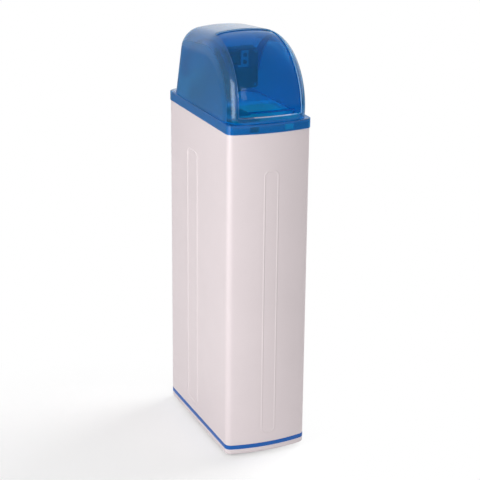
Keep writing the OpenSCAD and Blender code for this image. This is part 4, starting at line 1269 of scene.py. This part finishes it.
dressed = (
    ("top_deck", "topDeck", "pale_plastic", 0.8), ("salt_grid", "saltGrid", "pale_plastic", 0.5),
    ("brine_well", "brineWell", "pale_plastic", 0.4), ("well_cap", "wellCap", "pale_plastic", 0.8),
    ("brine_valve", "brineValve", "black_plastic", 0.5), ("brine_pickup", "brinePickup", "tube_clear", 0.2),
    ("brine_line", "brineLine", "tube_clear", 0.2), ("float", "brineFloat", "gear_white", 0.8),
    ("overflow_bush", "overflowBush", "black_plastic", 0.5), ("overflow_nut", "overflowNut", "black_plastic", 0.6),
    ("vessel", "pressureVessel", "vessel_skin", 0.6), ("vessel_boot", "vesselBoot", "black_plastic", 1.0),
    ("riser_tube", "riserTube", "tube_clear", 0.2), ("lower_basket", "lowerBasket", "gear_white", 0.3),
    ("upper_basket", "upperBasket", "gear_white", 0.3), ("tank_seal", "tankSeal", "black_rubber", 0.5),
    ("valve_body", "valveBody", "black_plastic", 1.0), ("seal_stack", "sealStack", "seal_tan", 0.1),
    ("piston_plug", "pistonPlug", "black_plastic", 0.4), ("piston", "piston.part", "piston_grey", 0.3),
    ("drive_gear", "driveGear", "gear_white", 0.15), ("motor_pinion", "motorPinion", "brass", 0.12),
    ("motor", "driveMotor", "steel", 0.6), ("drive_plate", "drivePlate", "black_plastic", 0.6),
    ("circuit_board", "circuitBoard", "board_green", 0.15), ("power_socket", "powerSocket", "black_plastic", 0.4),
    ("injector_cap", "injectorCap", "black_plastic", 0.8), ("brine_elbow", "brineElbow", "black_plastic", 0.6),
)
for row in dressed:
    dressNode(*row)
print("dressed nodes:", len(dressed))


# Stage, light and camera

stage = {"size": 9.0, "floorColor": (0.75, 0.75, 0.75), "lift": 0.31, "middle": (-0.45, -0.1), "clearFrom": 0.3,
         "clearTo": 0.7, "skyLevel": 0.30}


def seenRay(tree):
    # what the camera shows, directly or through the hood
    path = addNode(tree, "ShaderNodeLightPath")
    return path, mathNode(tree, "MAXIMUM", path.outputs["Is Camera Ray"], path.outputs["Is Transmission Ray"])


def buildStage():
    # pale floor that keeps the shadow near the object and fades to white further out
    size = stage["size"]
    mesh = bpy.data.meshes.new("floor")
    mesh.from_pydata([(-size, -size, 0), (size, -size, 0), (size, size, 0), (-size, size, 0)], [], [(0, 1, 2, 3)])
    obj = linkObject("floor", mesh)
    mat = bpy.data.materials.new("paleFloor")
    mat.use_nodes = True
    tree = mat.node_tree
    tree.nodes.clear()
    out = addNode(tree, "ShaderNodeOutputMaterial")
    matte = addNode(tree, "ShaderNodeBsdfDiffuse")
    matte.inputs["Color"].default_value = (*stage["floorColor"], 1.0)
    seen = seenRay(tree)[1]
    lift = addNode(tree, "ShaderNodeEmission")
    near = addNode(tree, "ShaderNodeAddShader")
    white = addNode(tree, "ShaderNodeEmission")
    reach = addNode(tree, "ShaderNodeVectorMath", operation="LENGTH")
    centre = addNode(tree, "ShaderNodeVectorMath", operation="SUBTRACT")
    centre.inputs[1].default_value = (*stage["middle"], 0.0)
    link(tree, (mathNode(tree, "MULTIPLY", seen, stage["lift"]), lift.inputs["Strength"]),
         (matte.outputs[0], near.inputs[0]), (lift.outputs[0], near.inputs[1]),
         (addNode(tree, "ShaderNodeTexCoord").outputs["Object"], centre.inputs[0]),
         (centre.outputs[0], reach.inputs[0]))
    fade = rangeNode(tree, reach.outputs["Value"], stage["clearFrom"], stage["clearTo"], 0.0, 1.0)
    fade.node.interpolation_type = "SMOOTHSTEP"
    blendShader(tree, mathNode(tree, "MULTIPLY", seen, fade), near, white, out)
    mesh.materials.append(mat)


def buildWorld():
    world = bpy.data.worlds.new("studio")
    bpy.context.scene.world = world
    world.use_nodes = True
    tree = world.node_tree
    tree.nodes.clear()
    out = addNode(tree, "ShaderNodeOutputWorld")
    back = addNode(tree, "ShaderNodeBackground")
    path, seen = seenRay(tree)
    shown = mathNode(tree, "MAXIMUM", seen, path.outputs["Is Glossy Ray"])
    strength = rangeNode(tree, shown, 0.0, 1.0, stage["skyLevel"], 1.0)
    link(tree, (strength, back.inputs["Strength"]), (back.outputs[0], out.inputs["Surface"]))
    back.inputs["Color"].default_value = (1.0, 1.0, 1.0, 1.0)


# each lamp: place, aim, size, power, and whether it shows in reflections
lamps = {"keyLamp": ((-2.35, -0.92, 1.15), (0.0, 0.0, 0.8), (0.8, 2.2), 37.0, True),
         "frontLamp": ((-1.0, -3.0, 2.2), (0.0, 0.0, 0.5), (1.6, 1.2), 30.0, True),
         "rearLamp": ((2.2, 0.6, 2.8), (0.0, 0.0, 0.4), (1.8, 1.8), 60.0, False),
         "topLamp": ((1.0, 2.4, 1.5), (0.0, 0.0, 1.1), (2.4, 0.9), 0.5, True)}


def softLamp(name, spot, aim, size, energy, mirrored):
    lamp = bpy.data.lights.new(name, "AREA")
    lamp.shape = "RECTANGLE"
    lamp.size, lamp.size_y = size
    lamp.energy = energy
    obj = linkObject(name, lamp)
    obj.visible_glossy = mirrored
    obj.location = spot
    obj.rotation_euler = (Vector(aim) - Vector(spot)).to_track_quat("-Z", "Y").to_euler()


view = {"azimuth": -22.915, "elevation": 18.715, "roll": 0.5, "distance": 3.90498, "across": 0.008292,
        "height": 0.524351, "lens": 110.66, "sensor": 36.0, "near": 0.05, "far": 60.0}


def buildCamera():
    a, e, r = (math.radians(view[k]) for k in ("azimuth", "elevation", "roll"))
    back = Vector((math.sin(a) * math.cos(e), -math.cos(a) * math.cos(e), math.sin(e)))
    right = Vector((math.cos(a), math.sin(a), 0.0))
    up = back.cross(right)
    spot = Vector((0.0, 0.0, view["height"])) + right * view["across"] + back * view["distance"]
    side = right * math.cos(r) + up * math.sin(r)
    top = up * math.cos(r) - right * math.sin(r)
    camera = bpy.data.cameras.new("camera")
    camera.lens, camera.sensor_width = view["lens"], view["sensor"]
    camera.clip_start, camera.clip_end = view["near"], view["far"]
    obj = linkObject("camera", camera)
    obj.matrix_world = Matrix.Translation(spot) @ Matrix((side, top, back)).transposed().to_4x4()
    bpy.context.scene.camera = obj


buildStage()
buildWorld()
for name, values in lamps.items():
    softLamp(name, *values)
buildCamera()
bpy.context.scene.view_settings.view_transform = "Standard"
print("stage done")
